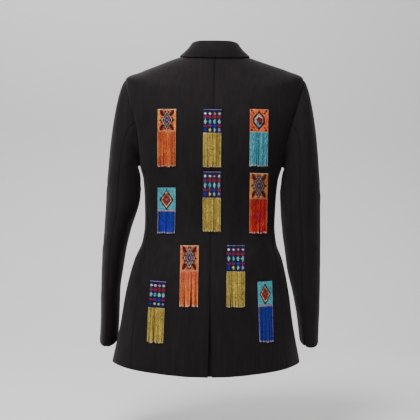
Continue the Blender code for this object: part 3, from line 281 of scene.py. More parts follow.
# Sleeves: rings below the cap
SLEEVE_COLUMNS = ("z", "middle_x", "half_x", "middle_y", "half_y", "hind_angle", "slope")
LEFT_SLEEVE_ROWS = (
    (-0.270, 0.2033, 0.0373, -0.0750, 0.0630, 80.0, 0.0),
    (-0.315, 0.2053, 0.0378, -0.0760, 0.0630, 80.0, 0.0),
    (-0.383, 0.2169, 0.0301, -0.0790, 0.0650, 82.0, 2.0),
    (-0.430, 0.2240, 0.0264, -0.0820, 0.0650, 82.0, 5.0),
    (-0.474, 0.2287, 0.0242, -0.0870, 0.0635, 84.0, 8.0),
    (-0.520, 0.2325, 0.0214, -0.0930, 0.0620, 86.0, 11.0),
    (-0.575, 0.2340, 0.0208, -0.1000, 0.0590, 86.0, 13.0),
    (-0.635, 0.2371, 0.0210, -0.1080, 0.0560, 85.0, 13.0),
)
RIGHT_SLEEVE_ROWS = (
    (-0.270, 0.1968, 0.0432, -0.0750, 0.0620, 98.0, 0.0),
    (-0.315, 0.1970, 0.0452, -0.0760, 0.0600, 98.0, 0.0),
    (-0.383, 0.2000, 0.0433, -0.0780, 0.0580, 96.0, 2.0),
    (-0.430, 0.2037, 0.0402, -0.0800, 0.0570, 98.0, 5.0),
    (-0.474, 0.2072, 0.0372, -0.0840, 0.0555, 104.0, 8.0),
    (-0.520, 0.2134, 0.0315, -0.0890, 0.0545, 114.0, 11.0),
    (-0.575, 0.2185, 0.0255, -0.0950, 0.0525, 123.0, 13.0),
    (-0.634, 0.2225, 0.0212, -0.1030, 0.0510, 126.0, 13.0),
)
FRONT_ARM_ANGLE = 285.0
CAP_STEPS = 26
SLEEVE_STEPS = 54
HIND_SEAM_STEP = 20
FRONT_SEAM_STEP = 48
STEPS_ROUND = ARMHOLE_STEPS * 2 + SIDE_STEPS
CAP_LEAVES = 0.010
CAP_LEAVES_MORE = 0.009
CAP_DROP = 0.08
CAP_DROP_MORE = 0.45
CAP_SWELL = 0.66
CAP_FORWARD = 0.12
CAP_ARRIVES_BY = 0.01
CAP_STEPS_CROWD = 1.15
SLEEVE_SETTLES = 2.5
SLEEVE_FOLDS_EASE = 6
CUFF_VENT_TOP = -0.545
CUFF_VENT_OPEN = 0.0042
CUFF_LAP_ABOVE = 0.012
CUFF_LAP_STEPS = 5
CUFF_LAP_DEPTH = 0.0006
CUFF_LAP_SHORTER = 0.07
CUFF_EASES_BELOW = 0.06
CUFF_VENT_STARTS = 0.006

# Sleeve folds: where round the sleeve (angle from its outer side towards the back) and
# how high the fold's middle is, its rise over the turn, its reach both ways and its stand
SLEEVE_FOLD_COLUMNS = ("angle", "z", "rise", "reach_round", "reach_down", "stand")
SLEEVE_FOLD_ROWS = (
    (60.0, -0.250, 0.030, 60.0, 0.008, 0.0012),
    (40.0, -0.285, 0.040, 50.0, 0.009, 0.0012),
    (-70.0, -0.400, -0.020, 55.0, 0.006, 0.0018),
    (-75.0, -0.428, 0.015, 55.0, 0.006, 0.0020),
    (-60.0, -0.372, -0.030, 50.0, 0.007, 0.0014),
    (70.0, -0.405, 0.040, 45.0, 0.010, 0.0012),
    (100.0, -0.440, 0.030, 45.0, 0.010, 0.0010),
    (30.0, -0.560, 0.060, 50.0, 0.010, 0.0008),
    (150.0, -0.330, 0.050, 45.0, 0.009, 0.0012),
    (190.0, -0.300, -0.050, 45.0, 0.009, 0.0012),
)

# Buttons and buttonholes on the right front
BUTTON_X = 0.045
BUTTON_HEIGHTS = (-0.375, -0.480)
BUTTON_RADIUS = 0.0105
BUTTON_THICK = 0.0032
BUTTON_RIM = 0.0022
BUTTON_DISH = 0.0008
BUTTON_CLEAR = 0.0010
BUTTON_HOLE_AWAY = 0.0017
BUTTON_HOLE_RADIUS = 0.0009
BUTTON_HOLE_DEPTH = 0.0012
BUTTON_SIDES = 56
BUTTON_RING_SPANS = ((0, 0.80, 26), (0.83, 0.995, 9))
BUTTON_ROUNDED = 0.6
BUTTON_UNDERSIDE = ((1.0, 0.45), (0.97, 0.2), (0.86, 0.0), (0.4, 0.0), (0.02, 0.0))
THREAD_RADIUS = 0.00032
STITCH_POINTS = 15
STITCH_REACH = 1.1
STITCH_DIVES = (0.85, 1.1)
STITCH_STANDS = 0.0005
STITCH_SINKS = 0.0014
STITCH_APART = THREAD_RADIUS * 1.6
STITCH_CROSSES = 0.0003
UPRIGHT = 0.9
HOLE_LENGTH = 0.024
HOLE_WIDTH = 0.0022
HOLE_PAST_BUTTON = 0.003
HOLE_STITCHES = 90
HOLE_STRAIGHTENS = 1.5
HOLE_STITCH_POINTS = 8
HOLE_STITCH_REACH = 0.42
HOLE_STITCH_LIFT = 0.9
HOLE_THREAD_FINER = 0.7

# Colours as light from 0 to 1, and how the wool's nap, threads and streaks show, with painted
# shade on the weave's relief and at seams and vents
WOOL_DARK = (0.0052, 0.0043, 0.0046)
WOOL_LIGHT = (0.0110, 0.0091, 0.0097)
WOOL_SPECULAR = 0.13
# Painted shade: how much darker the cloth's colour, specular and sheen are at seams and vents
PAINTED_SEAM_SHADE_DEPTH = 0.36
STREAK_SHORTENS = 0.10
STREAK_LIGHTENS = 0.55
NAP_LIGHTENS = 0.9
# Painted shade of the weave: how much the threads' relief lightens or darkens the colour
PAINTED_THREAD_SHADE = 0.35
WOOL_SHADE = -0.25
FUZZ_STANDS = 0.8
THREAD_STANDS = 0.00015
NAP_STANDS = 0.0025
TWIST_DARK = (0.006, 0.006, 0.006)
TWIST_LIGHT = (0.022, 0.020, 0.021)
HORN_DARK = (0.004, 0.004, 0.004)
HORN_BROWN = (0.020, 0.013, 0.009)
PAPER_DARK = (0.66, 0.655, 0.65)
PAPER_LIGHT = (0.70, 0.695, 0.69)

# Beadwork patches: middle of the top edge, width seen from behind and height of the
# beaded panel, length of its fringe, slant of its middle line, motif and fringe colour
PATCH_COLUMNS = ("name", "x", "top_z", "wide", "high", "fringe", "slant", "motif", "strand")
PATCH_ROWS = (
    ("01", 0.1031, -0.1199, 0.0400, 0.0481, 0.0775, 0.000, "rayed", "orange"),
    ("02", 0.0046, -0.1199, 0.0398, 0.0511, 0.0758, 0.000, "rows", "gold"),
    ("03", -0.0965, -0.1182, 0.0404, 0.0486, 0.0761, 0.000, "starred", "turquoise"),
    ("04", 0.1028, -0.2895, 0.0402, 0.0518, 0.0510, 0.000, "lozenge", "blue"),
    ("05", 0.0040, -0.2543, 0.0396, 0.0565, 0.0761, 0.000, "rows", "gold"),
    ("06", -0.0983, -0.2556, 0.0404, 0.0558, 0.0792, 0.000, "rayed", "red"),
    ("07", 0.0513, -0.4161, 0.0400, 0.0549, 0.0783, 0.000, "rayed", "orange"),
    ("08", -0.0494, -0.4148, 0.0406, 0.0569, 0.0784, 0.000, "rows", "gold"),
    ("09", 0.1192, -0.4944, 0.0360, 0.0571, 0.0772, 0.035, "rows", "gold"),
    ("10", -0.1135, -0.4938, 0.0330, 0.0534, 0.0805, -0.034, "lozenge", "blue"),
)


def table(columns, rows):
    """The rows, in the order of their first value, as one array for each named column."""
    rows = sorted(rows)
    return {name: np.array([row[i] for row in rows]) for i, name in enumerate(columns)}


def named(columns, rows):
    return [dict(zip(columns, row)) for row in rows]


FORM = table(FORM_COLUMNS, FORM_ROWS)
STANCE = table(STANCE_COLUMNS, STANCE_ROWS)
SIDE_SEAM = table(SIDE_SEAM_COLUMNS, SIDE_SEAM_ROWS)
SIDES = {"left": 1, "right": -1}
NEAR = 1e-9


def through(knots, values, at):
    """Monotone cubic through the knots: on each span, the Hermite cubic
    (1+2t)(1-t)^2 v0 + t(1-t)^2 h m0 + t^2(3-2t) v1 + t^2(t-1) h m1, with each inner
    tangent m a weighted harmonic mean of the slopes beside it."""
    step = np.diff(knots)
    slope = np.diff(values) / step
    tangent = np.append(slope, slope[-1])
    same_way = slope[:-1] * slope[1:] > 0
    before = 2 * step[1:] + step[:-1]
    after = step[1:] + 2 * step[:-1]
    weights = before / np.where(same_way, slope[:-1], 1) + after / np.where(same_way, slope[1:], 1)
    tangent[1:-1] = np.where(same_way, (before + after) / weights, 0)
    at = np.clip(at, knots[0], knots[-1])
    i = np.clip(np.searchsorted(knots, at) - 1, 0, len(step) - 1)
    t = (at - knots[i]) / step[i]
    return ((1 + 2 * t) * (1 - t) ** 2 * values[i] + t * (1 - t) ** 2 * step[i] * tangent[i]
            + t ** 2 * (3 - 2 * t) * values[i + 1] + t ** 2 * (t - 1) * step[i] * tangent[i + 1])


def read(rows, name, at):
    """A table's named column at places along its first column."""
    return through(next(iter(rows.values())), rows[name], at)


def ramp(value, zero_at, one_at):
    """0 at one value and 1 at the other: t^2 (3 - 2t)."""
    t = np.clip((value - zero_at) / (one_at - zero_at), 0, 1)
    return t * t * (3 - 2 * t)


def unit(vectors):
    return vectors / np.maximum(np.linalg.norm(vectors, axis=-1, keepdims=True), 1e-12)


def bare_form(height, angle):
    """Superellipse rings: x = w |sin a|^(2/p), y = s + (e - s) |cos a|^(2/p), and z runs
    from the middle's height to the side's with the square of x / w."""
    height, angle = np.broadcast_arrays(np.asarray(height, float), np.asarray(angle, float))
    ring = {name: read(FORM, name, height) for name in FORM_COLUMNS[1:]}
    sine = np.sin(np.radians(angle))
    cosine = np.cos(np.radians(angle))
    back = cosine >= 0
    power = 2 / np.where(back, ring["back_power"], ring["front_power"])
    across = np.sign(sine) * np.abs(sine) ** power
    end_y = np.where(back, ring["back_y"], ring["front_y"])
    middle_z = np.where(back, height, ring["front_z"])
    return np.stack([
        ring["half_width"] * across,
        ring["side_y"] + (end_y - ring["side_y"]) * np.abs(cosine) ** power,
        middle_z + (ring["side_z"] - middle_z) * across ** 2,
    ], axis=-1)


def form_normal(height, angle):
    """Cross product of the form's small steps up and forward."""
    top = np.minimum(np.asarray(height, float) + STEP_UP, 0.0)
    up = bare_form(top, angle) - bare_form(top - 2 * STEP_UP, angle)
    forward = bare_form(height, angle + STEP_ROUND) - bare_form(height, angle - STEP_ROUND)
    return unit(np.cross(up, forward))


def fold_stand(points, rows, facing):
    """Sum of the folds: stand * exp(-(aside / spread)^2), eased in and out down each line."""
    total = 0.0
    for fold in named(FOLD_COLUMNS, rows):
        top = np.array([fold["top_x"], fold["top_z"]])
        run = np.array([fold["bottom_x"], fold["bottom_z"]]) - top
        length = np.linalg.norm(run)
        offset = points[..., [0, 2]] - top
        down = (offset @ run) / length ** 2
        aside = (offset[..., 0] * run[1] - offset[..., 1] * run[0]) / length
        shape = np.exp(-(aside / fold["spread"]) ** 2) * ramp(down, *FOLD_EASES_IN)
        if fold["bottom_z"] > HEM_HEIGHT:
            shape = shape * ramp(down, *FOLD_EASES_OUT)
        total = total + fold["stand"] * shape
    return total * facing


def waves(points):
    """height * sin(2 pi across x + wander sin(2 pi bends z)) * (mean + swing sin(a x + b z))."""
    x = points[..., 0]
    z = points[..., 2]
    phase = 2 * math.pi * WAVES_ACROSS * x + WAVE_WANDER * np.sin(2 * math.pi * WAVE_BENDS * z)
    strength = WAVE_MEAN + WAVE_SWING * np.sin(WAVE_SWING_X * x + WAVE_SWING_Z * z)
    return WAVE_HEIGHT * np.sin(phase) * strength * ramp(z, *WAVE_FADES)


def turned(directions, z):
    """Directions turned about the vertical as far as the stance turns each height."""
    turn = np.radians(read(STANCE, "turn", z))
    x = directions[..., 0]
    y = directions[..., 1]
    return np.stack([x * np.cos(turn) - y * np.sin(turn), x * np.sin(turn) + y * np.cos(turn),
                     directions[..., 2]], axis=-1)


def stance(points):
    """Each level turned about a vertical axis and moved sideways by the stance table, with the
    wearer's left shoulder a little lower: z - drop * ramp(across) * ramp(up)."""
    x = points[..., 0]
    z = points[..., 2]
    drop = SHOULDER_DROP * ramp(x, *DROP_ACROSS) * ramp(z, *DROP_UP)
    lean = read(STANCE, "lean", z)
    axis = np.array([0.0, STANCE_AXIS_Y, 0.0])
    moved = np.stack([lean, np.zeros_like(z), -drop], axis=-1)
    return turned(points - axis, z) + axis + moved


def body(height, angle, side, out=0.0):
    """The form mirrored by side, raised by its folds and by out, then given its stance."""
    mirror = np.stack(np.broadcast_arrays(side, 1.0, 1.0), axis=-1)
    points = bare_form(height, angle) * mirror
    normals = form_normal(height, angle) * mirror
    backness = ramp(normals[..., 1], *FACE_TURNS)
    frontness = ramp(-normals[..., 1], *FACE_TURNS)
    stand = fold_stand(points, BACK_FOLD_ROWS, backness)
    stand = stand + fold_stand(points, FRONT_FOLD_ROWS, frontness)
    stand = stand + waves(points) * np.maximum(backness, frontness)
    points = points + normals * (stand + out)[..., None]
    return stance(points), turned(normals, points[..., 2])


def bisect(positive, low, high):
    """Halves each span towards where the function passes from plus to minus."""
    for _ in range(HALVINGS):
        middle = (low + high) / 2
        plus = positive(middle) > 0
        low = np.where(plus, middle, low)
        high = np.where(plus, high, middle)
    return (low + high) / 2


def armhole_outside(points):
    """((y - y0) / half)^2 + ((z - z0) / rise)^2 - 1, with a wider half in front."""
    y = points[..., 1] - ARMHOLE_Y
    half = np.where(y > 0, ARMHOLE_BACK, ARMHOLE_FRONT)
    return (y / half) ** 2 + ((points[..., 2] - ARMHOLE_Z) / ARMHOLE_RISE) ** 2 - 1


def armhole_angle(heights, outer_angle):
    return bisect(lambda angle: armhole_outside(bare_form(heights, angle)), outer_angle, 90.0)


def levels():
    """Heights of the rows of cloth points, from the hem to the neck."""
    low = [np.linspace(start, end, steps, endpoint=False) for start, end, steps in LEVEL_SPANS]
    turn = np.linspace(0, math.pi / 2, ARMHOLE_STEPS, endpoint=False)
    armhole = SIDE_SEAM_TOP + (SHOULDER_HEIGHT - SIDE_SEAM_TOP) * np.sin(turn)
    shoulder = np.linspace(SHOULDER_HEIGHT, 0, SHOULDER_STEPS + 1)
    return np.concatenate(low + [armhole, shoulder])


LEVELS = levels()
SEAM_ROWS = sum(steps for _, _, steps in LEVEL_SPANS)
SHOULDER_ROW = SEAM_ROWS + ARMHOLE_STEPS


def side_edge(which, heights):
    """Angle of the edge that faces the side panel, the armhole and the shoulder seam."""
    start = 0.0 if which == "back" else 180.0
    angles = np.append(SIDE_SEAM[which + "_angle"], armhole_angle(SIDE_SEAM_TOP, start))
    low = through(np.append(SIDE_SEAM["height"], SIDE_SEAM_TOP), angles, heights)
    middle = armhole_angle(np.clip(heights, SIDE_SEAM_TOP, SHOULDER_HEIGHT), start)
    angle = np.where(heights < SIDE_SEAM_TOP - NEAR, low, middle)
    return np.where(heights > SHOULDER_HEIGHT - NEAR, 90.0, angle)


def into_piece(points, normals, inward):
    """Unit directions in the cloth and square to an edge, to the side that inward leads to."""
    across = unit(np.cross(normals, unit(np.gradient(points, axis=0))))
    return across * np.sign((across * inward).sum(-1, keepdims=True))


def draw_back(points, normals):
    """The grid of points with all four edges drawn back by half a seam gap."""
    moved = points.copy()
    for end, second in ((0, 1), (-1, -2)):
        for edge, beside in ((np.s_[:, end], np.s_[:, second]), (end, second)):
            inward = points[beside] - points[edge]
            moved[edge] += into_piece(points[edge], normals[edge], inward) * SEAM_GAP / 2
    return moved


def resampled(values, places, axis):
    """Rows or columns at fractional places: v[i] (1 - f) + v[i + 1] f."""
    low = np.minimum(places.astype(int), values.shape[axis] - 2)
    share = np.expand_dims(places - low, [i for i in range(values.ndim) if i != axis])
    return np.take(values, low, axis) * (1 - share) + np.take(values, low + 1, axis) * share


def edge_places(grid, axis):
    """Places of the rows or columns of a grid with a few more close to each of its ends."""
    step = np.linalg.norm(np.diff(grid, axis=axis), axis=-1)
    last = grid.shape[axis] - 1
    insets = [np.array(EDGE_INSETS) / np.take(step, end, axis).mean() for end in (0, -1)]
    starts, ends = (inset[inset < INSETS_WITHIN] for inset in insets)
    return np.concatenate([[0.0], starts, np.arange(1, last), last - ends[::-1], [last]])


def edge_distance(grid, axis):
    """Arc length along the rows or columns, from their first and from their last point."""
    step = np.diff(grid, axis=axis, prepend=np.take(grid, [0], axis))
    start = np.cumsum(np.linalg.norm(step, axis=-1), axis=axis)
    return start, np.take(start, [-1], axis) - start


def cloth_wall(name, outer, inner, kinds, material, replaces):
    """A closed wall of cloth between two grids of points. kinds says for the first column,
    last column, first row and last row how free that edge is: 1 is a free edge, which is
    rounded like a quarter circle, and 0 is a seam, into which the cloth dips by
    dip * exp(-distance / reach). An array gives a value for each point of the edge, as
    along a vent. Seams and vents get painted shade: the cloth's colour, specular and sheen
    are darker there by exp(-distance / reach)."""
    places = [edge_places(outer, axis) for axis in (0, 1)]
    counts = outer.shape
    for axis in (0, 1):
        outer = resampled(outer, places[axis], axis)
        inner = resampled(inner, places[axis], axis)
    thick = np.linalg.norm(outer - inner, axis=-1)
    normals = unit(outer - inner)
    distances = (*edge_distance(outer, 1), *edge_distance(outer, 0))
    sink, rise, painted_seam_shade = np.zeros((3, *thick.shape))
    for edge, (distance, kind) in enumerate(zip(distances, kinds)):
        axis = edge // 2
        free = np.broadcast_to(np.asarray(kind, float), counts[axis])
        free = np.interp(places[axis], np.arange(counts[axis]), free)
        free = np.expand_dims(free, 1 - axis)
        radius = thick / 2
        inside = np.clip(1 - distance / radius, 0, 1)
        rounding = radius * (1 - np.sqrt(1 - inside ** 2 * ROUNDED)) * free
        dip = SEAM_DIP * np.exp(-distance / SEAM_REACH) * (1 - free)
        sink = np.maximum(sink, rounding) + dip
        rise = np.maximum(rise, rounding) - dip * DIPS_INSIDE
        # Painted shade near seams and vents: full along a vent, less the freer a seam is
        painted_seam_factor = 1.0 if np.ndim(kind) else 1.0 - kind
        painted_seam_shade = np.maximum(painted_seam_shade, painted_seam_factor * np.exp(-distance / PAINTED_SEAM_SHADE_REACH))
    across, down = distances[0], distances[2]
    flat = np.stack([across - across.mean(), down], axis=-1) + FLAT_CORNER
    outer = outer - normals * sink[..., None]
    inner = inner + normals * np.minimum(rise, thick * WALL_KEPT)[..., None]
    made = wall(name, outer, inner, flat)
    # The painted shade is kept as a point attribute on the outer points; the inner points get none
    shade = np.append(painted_seam_shade.ravel(), np.zeros(painted_seam_shade.size)).astype(np.float32)
    made.data.attributes.new("painted_seam_shade", "FLOAT", "POINT").data.foreach_set("value", shade)
    dress(made, material, replaces)
    declare_cloth(outer)


def squares(rows, columns, closed=False):
    """Four-sided faces between neighbours in a grid of points, its rows closed or open."""
    number = np.arange(rows * columns).reshape(rows, columns)
    if closed:
        number = np.concatenate([number, number[:, :1]], axis=1)
    corners = (number[:-1, :-1], number[:-1, 1:], number[1:, 1:], number[1:, :-1])
    return np.stack(corners, axis=-1).reshape(-1, 4)


def wall(name, outer, inner, flat):
    """A closed mesh from two grids of points and a rim, with the cloth's flat places in
    metres as its UV map."""
    rows, columns = outer.shape[:2]
    faces = squares(rows, columns)
    back = rows * columns
    number = np.arange(back).reshape(rows, columns)
    rim = np.concatenate([number[0, :], number[1:, -1], number[-1, -2::-1], number[-2:0:-1, 0]])
    after = np.roll(rim, -1)
    band = np.stack([after, rim, rim + back, after + back], axis=-1)
    faces = np.concatenate([faces, faces[:, ::-1] + back, band])
    points = np.concatenate([outer.reshape(-1, 3), inner.reshape(-1, 3)])
    first, second, third, fourth = points[faces].swapaxes(0, 1)
    volume = (first * (np.cross(second, third) + np.cross(third, fourth))).sum()
    if volume < 0:
        faces = faces[:, ::-1]
    return mesh_object(name, points, faces, np.tile(flat.reshape(-1, 2), (2, 1)))


def link(name, data):
    """A new object in the scene."""
    made = bpy.data.objects.new(name, data)
    bpy.context.scene.collection.objects.link(made)
    return made


def mesh_object(name, points, faces, flats=None):
    """A smooth-shaded object of four-sided faces."""
    mesh = bpy.data.meshes.new(name)
    faces = np.asarray(faces, np.int32)
    mesh.vertices.add(len(points))
    mesh.vertices.foreach_set("co", np.asarray(points, np.float32).ravel())
    mesh.loops.add(faces.size)
    mesh.loops.foreach_set("vertex_index", faces.ravel())
    mesh.polygons.add(len(faces))
    mesh.polygons.foreach_set("loop_start", np.arange(0, faces.size, 4, dtype=np.int32))
    mesh.update(calc_edges=True)
    mesh.validate()
    mesh.shade_smooth()
    mesh.set_sharp_from_angle(angle=math.radians(SHARP_ANGLE))
    if flats is not None:
        layer = mesh.uv_layers.new(name="cloth")
        layer.data.foreach_set("uv", np.asarray(flats, np.float32)[faces.ravel()].ravel())
    return link(name, mesh)


def dress(made, material, replaces=()):
    """Gives a piece its material and slot, and the solids that it takes the place of."""
    made.data.materials.append(material)
    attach(made, "root")
    if replaces:
        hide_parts(*replaces)


def declare_cloth(outer):
    """Works out how large the cloth is when it lies flat: its longest row, its longest column
    square to the rows, and the sum of its squares' areas by their diagonals; the values are not
    kept."""
    across = np.diff(outer, axis=1)
    width = float(np.linalg.norm(across, axis=-1).sum(axis=1).max())
    across = unit(across[:-1])
    down = np.diff(outer, axis=0)[:, :-1]
    down = down - across * (down * across).sum(axis=-1, keepdims=True)
    length = float(np.linalg.norm(down, axis=-1).sum(axis=0).max())
    diagonals = np.cross(outer[1:, 1:] - outer[:-1, :-1], outer[1:, :-1] - outer[:-1, 1:])
    area = float(np.linalg.norm(diagonals, axis=-1).sum() / 2)
    area = min(max(area, LEAST_AREA * width * length), width * length)


def spread(start, end, steps):
    """Rows of values in even steps from each start to each end."""
    return start[:, None] + (end - start)[:, None] * np.linspace(0, 1, steps + 1)


def angle_at_x(heights, x, low, high):
    return bisect(lambda angle: bare_form(heights, angle)[..., 0] - x, low, high)


def on_face(face, x, z):
    """Height and angle of the points of the left front or back with this x and z. Solves
    z = m + (s - m) (x / w)^2 for the height, then x = w sin^(2/p) for the angle."""
    x, z = np.broadcast_arrays(np.asarray(x, float), np.asarray(z, float))
    middle = "front_z" if face == "front" else "height"

    def share(height):
        return np.clip(np.abs(x) / read(FORM, "half_width", height), 0, 1)

    def above(height):
        middle_z = read(FORM, middle, height)
        return z - (middle_z + (read(FORM, "side_z", height) - middle_z) * share(height) ** 2)

    height = bisect(above, HEM_HEIGHT, 0.0)
    sine = share(height) ** (read(FORM, face + "_power", height) / 2)
    turn = np.copysign(np.degrees(np.arcsin(sine)), x)
    return height, 180.0 - turn if face == "front" else turn


def roll_ends():
    """Top and foot of the left roll line seen from the front, as x and z."""
    top = bare_form(0.0, NECK_END_ANGLE)
    foot = bare_form(BREAK_HEIGHT, 180.0)
    return np.array([top[0], top[2]]), np.array([-OVERLAP, foot[2]])


ROLL_TOP, ROLL_FOOT = roll_ends()
ROLL_UP = unit(ROLL_TOP - ROLL_FOOT)
GORGE = ROLL_TOP - ROLL_UP * GORGE_DOWN_ROLL


def front_edge(heights):
    """Angle of a front's inner edge: the roll line above the break, straight below it."""
    def beyond_roll(angle):
        points = bare_form(heights, angle)
        share = (points[..., 2] - ROLL_FOOT[1]) / (ROLL_TOP[1] - ROLL_FOOT[1])
        return points[..., 0] - (ROLL_FOOT[0] + (ROLL_TOP[0] - ROLL_FOOT[0]) * share)

    above = bisect(beyond_roll, *FRONT_EDGE_BETWEEN)
    below = angle_at_x(heights, -OVERLAP, *FRONT_EDGE_BETWEEN)
    return np.where(heights > BREAK_HEIGHT + NEAR, above, below)


def ply(points, side):
    """How far the overlap lifts the right front, or sinks the left one."""
    share = ramp(np.abs(points[..., 0]), PLY_NONE_X, PLY_FULL_X)
    return -side * PLY_STEP * share * ramp(points[..., 2], PLY_NONE_Z, PLY_FULL_Z)


def drape_front(plan, side, out):
    """Points and outward directions over places (x, z) of the left front as seen from the
    front, mirrored by side and lifted off its face."""
    heights, angles = on_face("front", plan[..., 0], plan[..., 1])
    return body(heights, angles, side, ply(bare_form(heights, angles), side) + out)


def sew_panel(name, word, heights, angles, kinds, material, out=0.0, thick=CLOTH):
    """One piece of the body with a seam gap all round."""
    points, normals = body(heights, angles, SIDES[word], out)
    outer = draw_back(points, normals)
    cloth_wall(name + "_cloth_" + word, outer, outer - normals * thick, kinds, material,
               [name + "_" + word])


def sew_backs(material):
    """The two halves of the back, open along the vent."""
    heights = np.repeat(LEVELS[:, None], BACK_STEPS + 1, axis=1)
    wide = bare_form(LEVELS, RING_READ_AT)[..., 0] / math.sin(math.radians(RING_READ_AT))
    below_hem = HEM_HEIGHT - VENT_EASES_BELOW
    opening = ramp(LEVELS, VENT_TOP, below_hem) / ramp(HEM_HEIGHT, VENT_TOP, below_hem)
    vent = ramp(LEVELS, VENT_TOP + VENT_STARTS, VENT_TOP - VENT_STARTS)
    for word, gap in (("left", VENT_OPEN_LEFT), ("right", VENT_OPEN_RIGHT)):
        middle = np.degrees(gap * opening / wide)
        angles = spread(middle, side_edge("back", LEVELS), BACK_STEPS)
        sew_panel("back", word, heights, angles, (vent, 0, 1, 0), material)


def sew_underlap(material):
    """The strip of cloth behind the vent."""
    heights = np.linspace(UNDERLAP_BOTTOM, UNDERLAP_TOP, UNDERLAP_ROWS)
    places = np.linspace(UNDERLAP_FROM, UNDERLAP_TO, UNDERLAP_COLUMNS)
    angles = np.stack([-math.copysign(1, x) * angle_at_x(heights, -abs(x), *UNDERLAP_BETWEEN)
                       for x in places], axis=1)
    grid = np.repeat(heights[:, None], UNDERLAP_COLUMNS, axis=1)
    depth = UNDERLAP_DEPTH + UNDERLAP_DEEPER * ramp(grid, UNDERLAP_TOP, HEM_HEIGHT)
    points, normals = body(grid, angles, 1, -CLOTH - depth)
    cloth_wall("vent_cloth", points, points - normals * CLOTH, FREE_ALL_ROUND, material,
               ["vent_underlap"])


def side_grid():
    """Heights and angles of a side panel. Its top edge is the armhole's lower arc."""
    rows = LEVELS[:SEAM_ROWS + 1]
    angles = spread(side_edge("back", rows), side_edge("front", rows), SIDE_STEPS)
    tops = bisect(lambda height: armhole_outside(bare_form(height, angles[-1])),
                  *SIDE_TOP_BETWEEN)
    tops[[0, -1]] = SIDE_SEAM_TOP
    near_top = ramp(rows, SIDE_SEAM_TOP - SIDE_TOP_REACH, SIDE_SEAM_TOP)
    return rows[:, None] + near_top[:, None] * (tops - SIDE_SEAM_TOP), angles


def sew_sides(material):
    for word in SIDES:
        sew_panel("side", word, *side_grid(), (0, 0, 1, 0), material)


def sew_fronts(material):
    """The fronts. Their top row runs along the neck, then down the roll line."""
    angles = spread(side_edge("front", LEVELS), front_edge(LEVELS), FRONT_STEPS)
    heights = np.repeat(LEVELS[:, None], FRONT_STEPS + 1, axis=1)
    down_roll = np.linspace(0, FRONT_TOP_DOWN_ROLL, FRONT_STEPS)[:, None]
    neck_heights, neck_angles = on_face("front", *(ROLL_TOP - ROLL_UP * down_roll).T)
    blend = ramp(LEVELS, *NECK_BLEND)[:, None]
    heights[:, 1:] += neck_heights * blend
    angles[:, 1:] += (neck_angles - angles[:, 1:]) * blend
    stretch = (front_edge(heights[:, -1]) - 90) / (angles[:, -1] - 90) - 1
    angles = 90 + (angles - 90) * (1 + stretch[:, None] * np.linspace(0, 1, FRONT_STEPS + 1))
    for word, side in SIDES.items():
        sew_panel("front", word, heights, angles, (0, 1, 1, 0), material,
                  ply(bare_form(heights, angles), side), FACED_CLOTH)


def rolled(middle, first, second, hollow, turns):
    """Cloth turned round a line, outside and inside: middle + (first cos a + second sin a)
    * radius."""
    spokes = [first * math.cos(turn) + second * math.sin(turn) for turn in turns]
    return ([middle + spoke * (hollow + FACED_CLOTH) for spoke in spokes],
            [middle + spoke * hollow for spoke in spokes])


def lapel_plan():
    """Left lapel seen from the front: straight lines from the roll line to the outer edge,
    which is start + (peak - start) r^power + belly sin(pi r), with the notch as a corner."""
    out = np.array([ROLL_UP[1], -ROLL_UP[0]])
    notch = GORGE + np.array(NOTCH_FROM_GORGE)
    peak = GORGE + np.array(PEAK_FROM_GORGE)
    rows = table(LAPEL_COLUMNS, LAPEL_ROWS)
    corner = rows["share"][np.argmax(rows["notch_bend"])]
    shares = np.unique(np.append(np.linspace(0, 1, LAPEL_ACROSS), corner))
    bends = np.interp(shares, rows["share"], rows["notch_bend"])[:, None]
    rise = np.linspace(0, 1, LAPEL_STEPS + 1)[:, None]
    roll = ROLL_FOOT + (GORGE - ROLL_FOOT) * rise
    start = ROLL_FOOT + out * LAPEL_FOOT
    belly = out * LAPEL_BELLY * np.sin(math.pi * rise)
    edge = start + (peak - start) * rise ** LAPEL_EDGE_POWER + belly
    notch_bend = (notch - (GORGE + (peak - GORGE) * corner)) * ramp(rise, *NOTCH_SETS_IN)
    return roll[:, None] + (edge - roll)[:, None] * shares[:, None] + notch_bend[:, None] * bends


def sew_lapels(material):
    """Each lapel turns half a circle round its front's rolled edge and lies back on the
    front."""
    plan = lapel_plan()
    rise = np.linspace(0, 1, LAPEL_STEPS + 1)[:, None]
    lying = PLY_STEP - FACED_CLOTH
    clear = lying + LAPEL_LIFT * ramp(rise, *LAPEL_LIFTS_UP)
    turns = np.linspace(-math.pi / 2, math.pi / 2, ROLL_STEPS + 1)
    share = np.linspace(0, 1, plan.shape[1])[1:]
    for word, side in SIDES.items():
        edge, normals = drape_front(plan[:, 0], side, 0.0)
        beside = drape_front(plan[:, 1], side, 0.0)[0] - edge
        aside = -into_piece(edge, normals, beside)
        hollow = clear / 2
        rolls = rolled(edge + normals * hollow, aside, normals, hollow, turns)
        settle = lying + (clear - lying) * (1 - share) ** 2
        points, normals = drape_front(plan[:, 1:], side, settle + FACED_CLOTH)
        outer, inner = (np.concatenate([np.stack(roll, axis=1), flat], axis=1)
                        for roll, flat in zip(rolls, (points, points - normals * FACED_CLOTH)))
        cloth_wall("lapel_cloth_" + word, outer, inner, (1, 1, 1, LAPEL_TOP_FREE), material,
                   ["lapel_" + word])


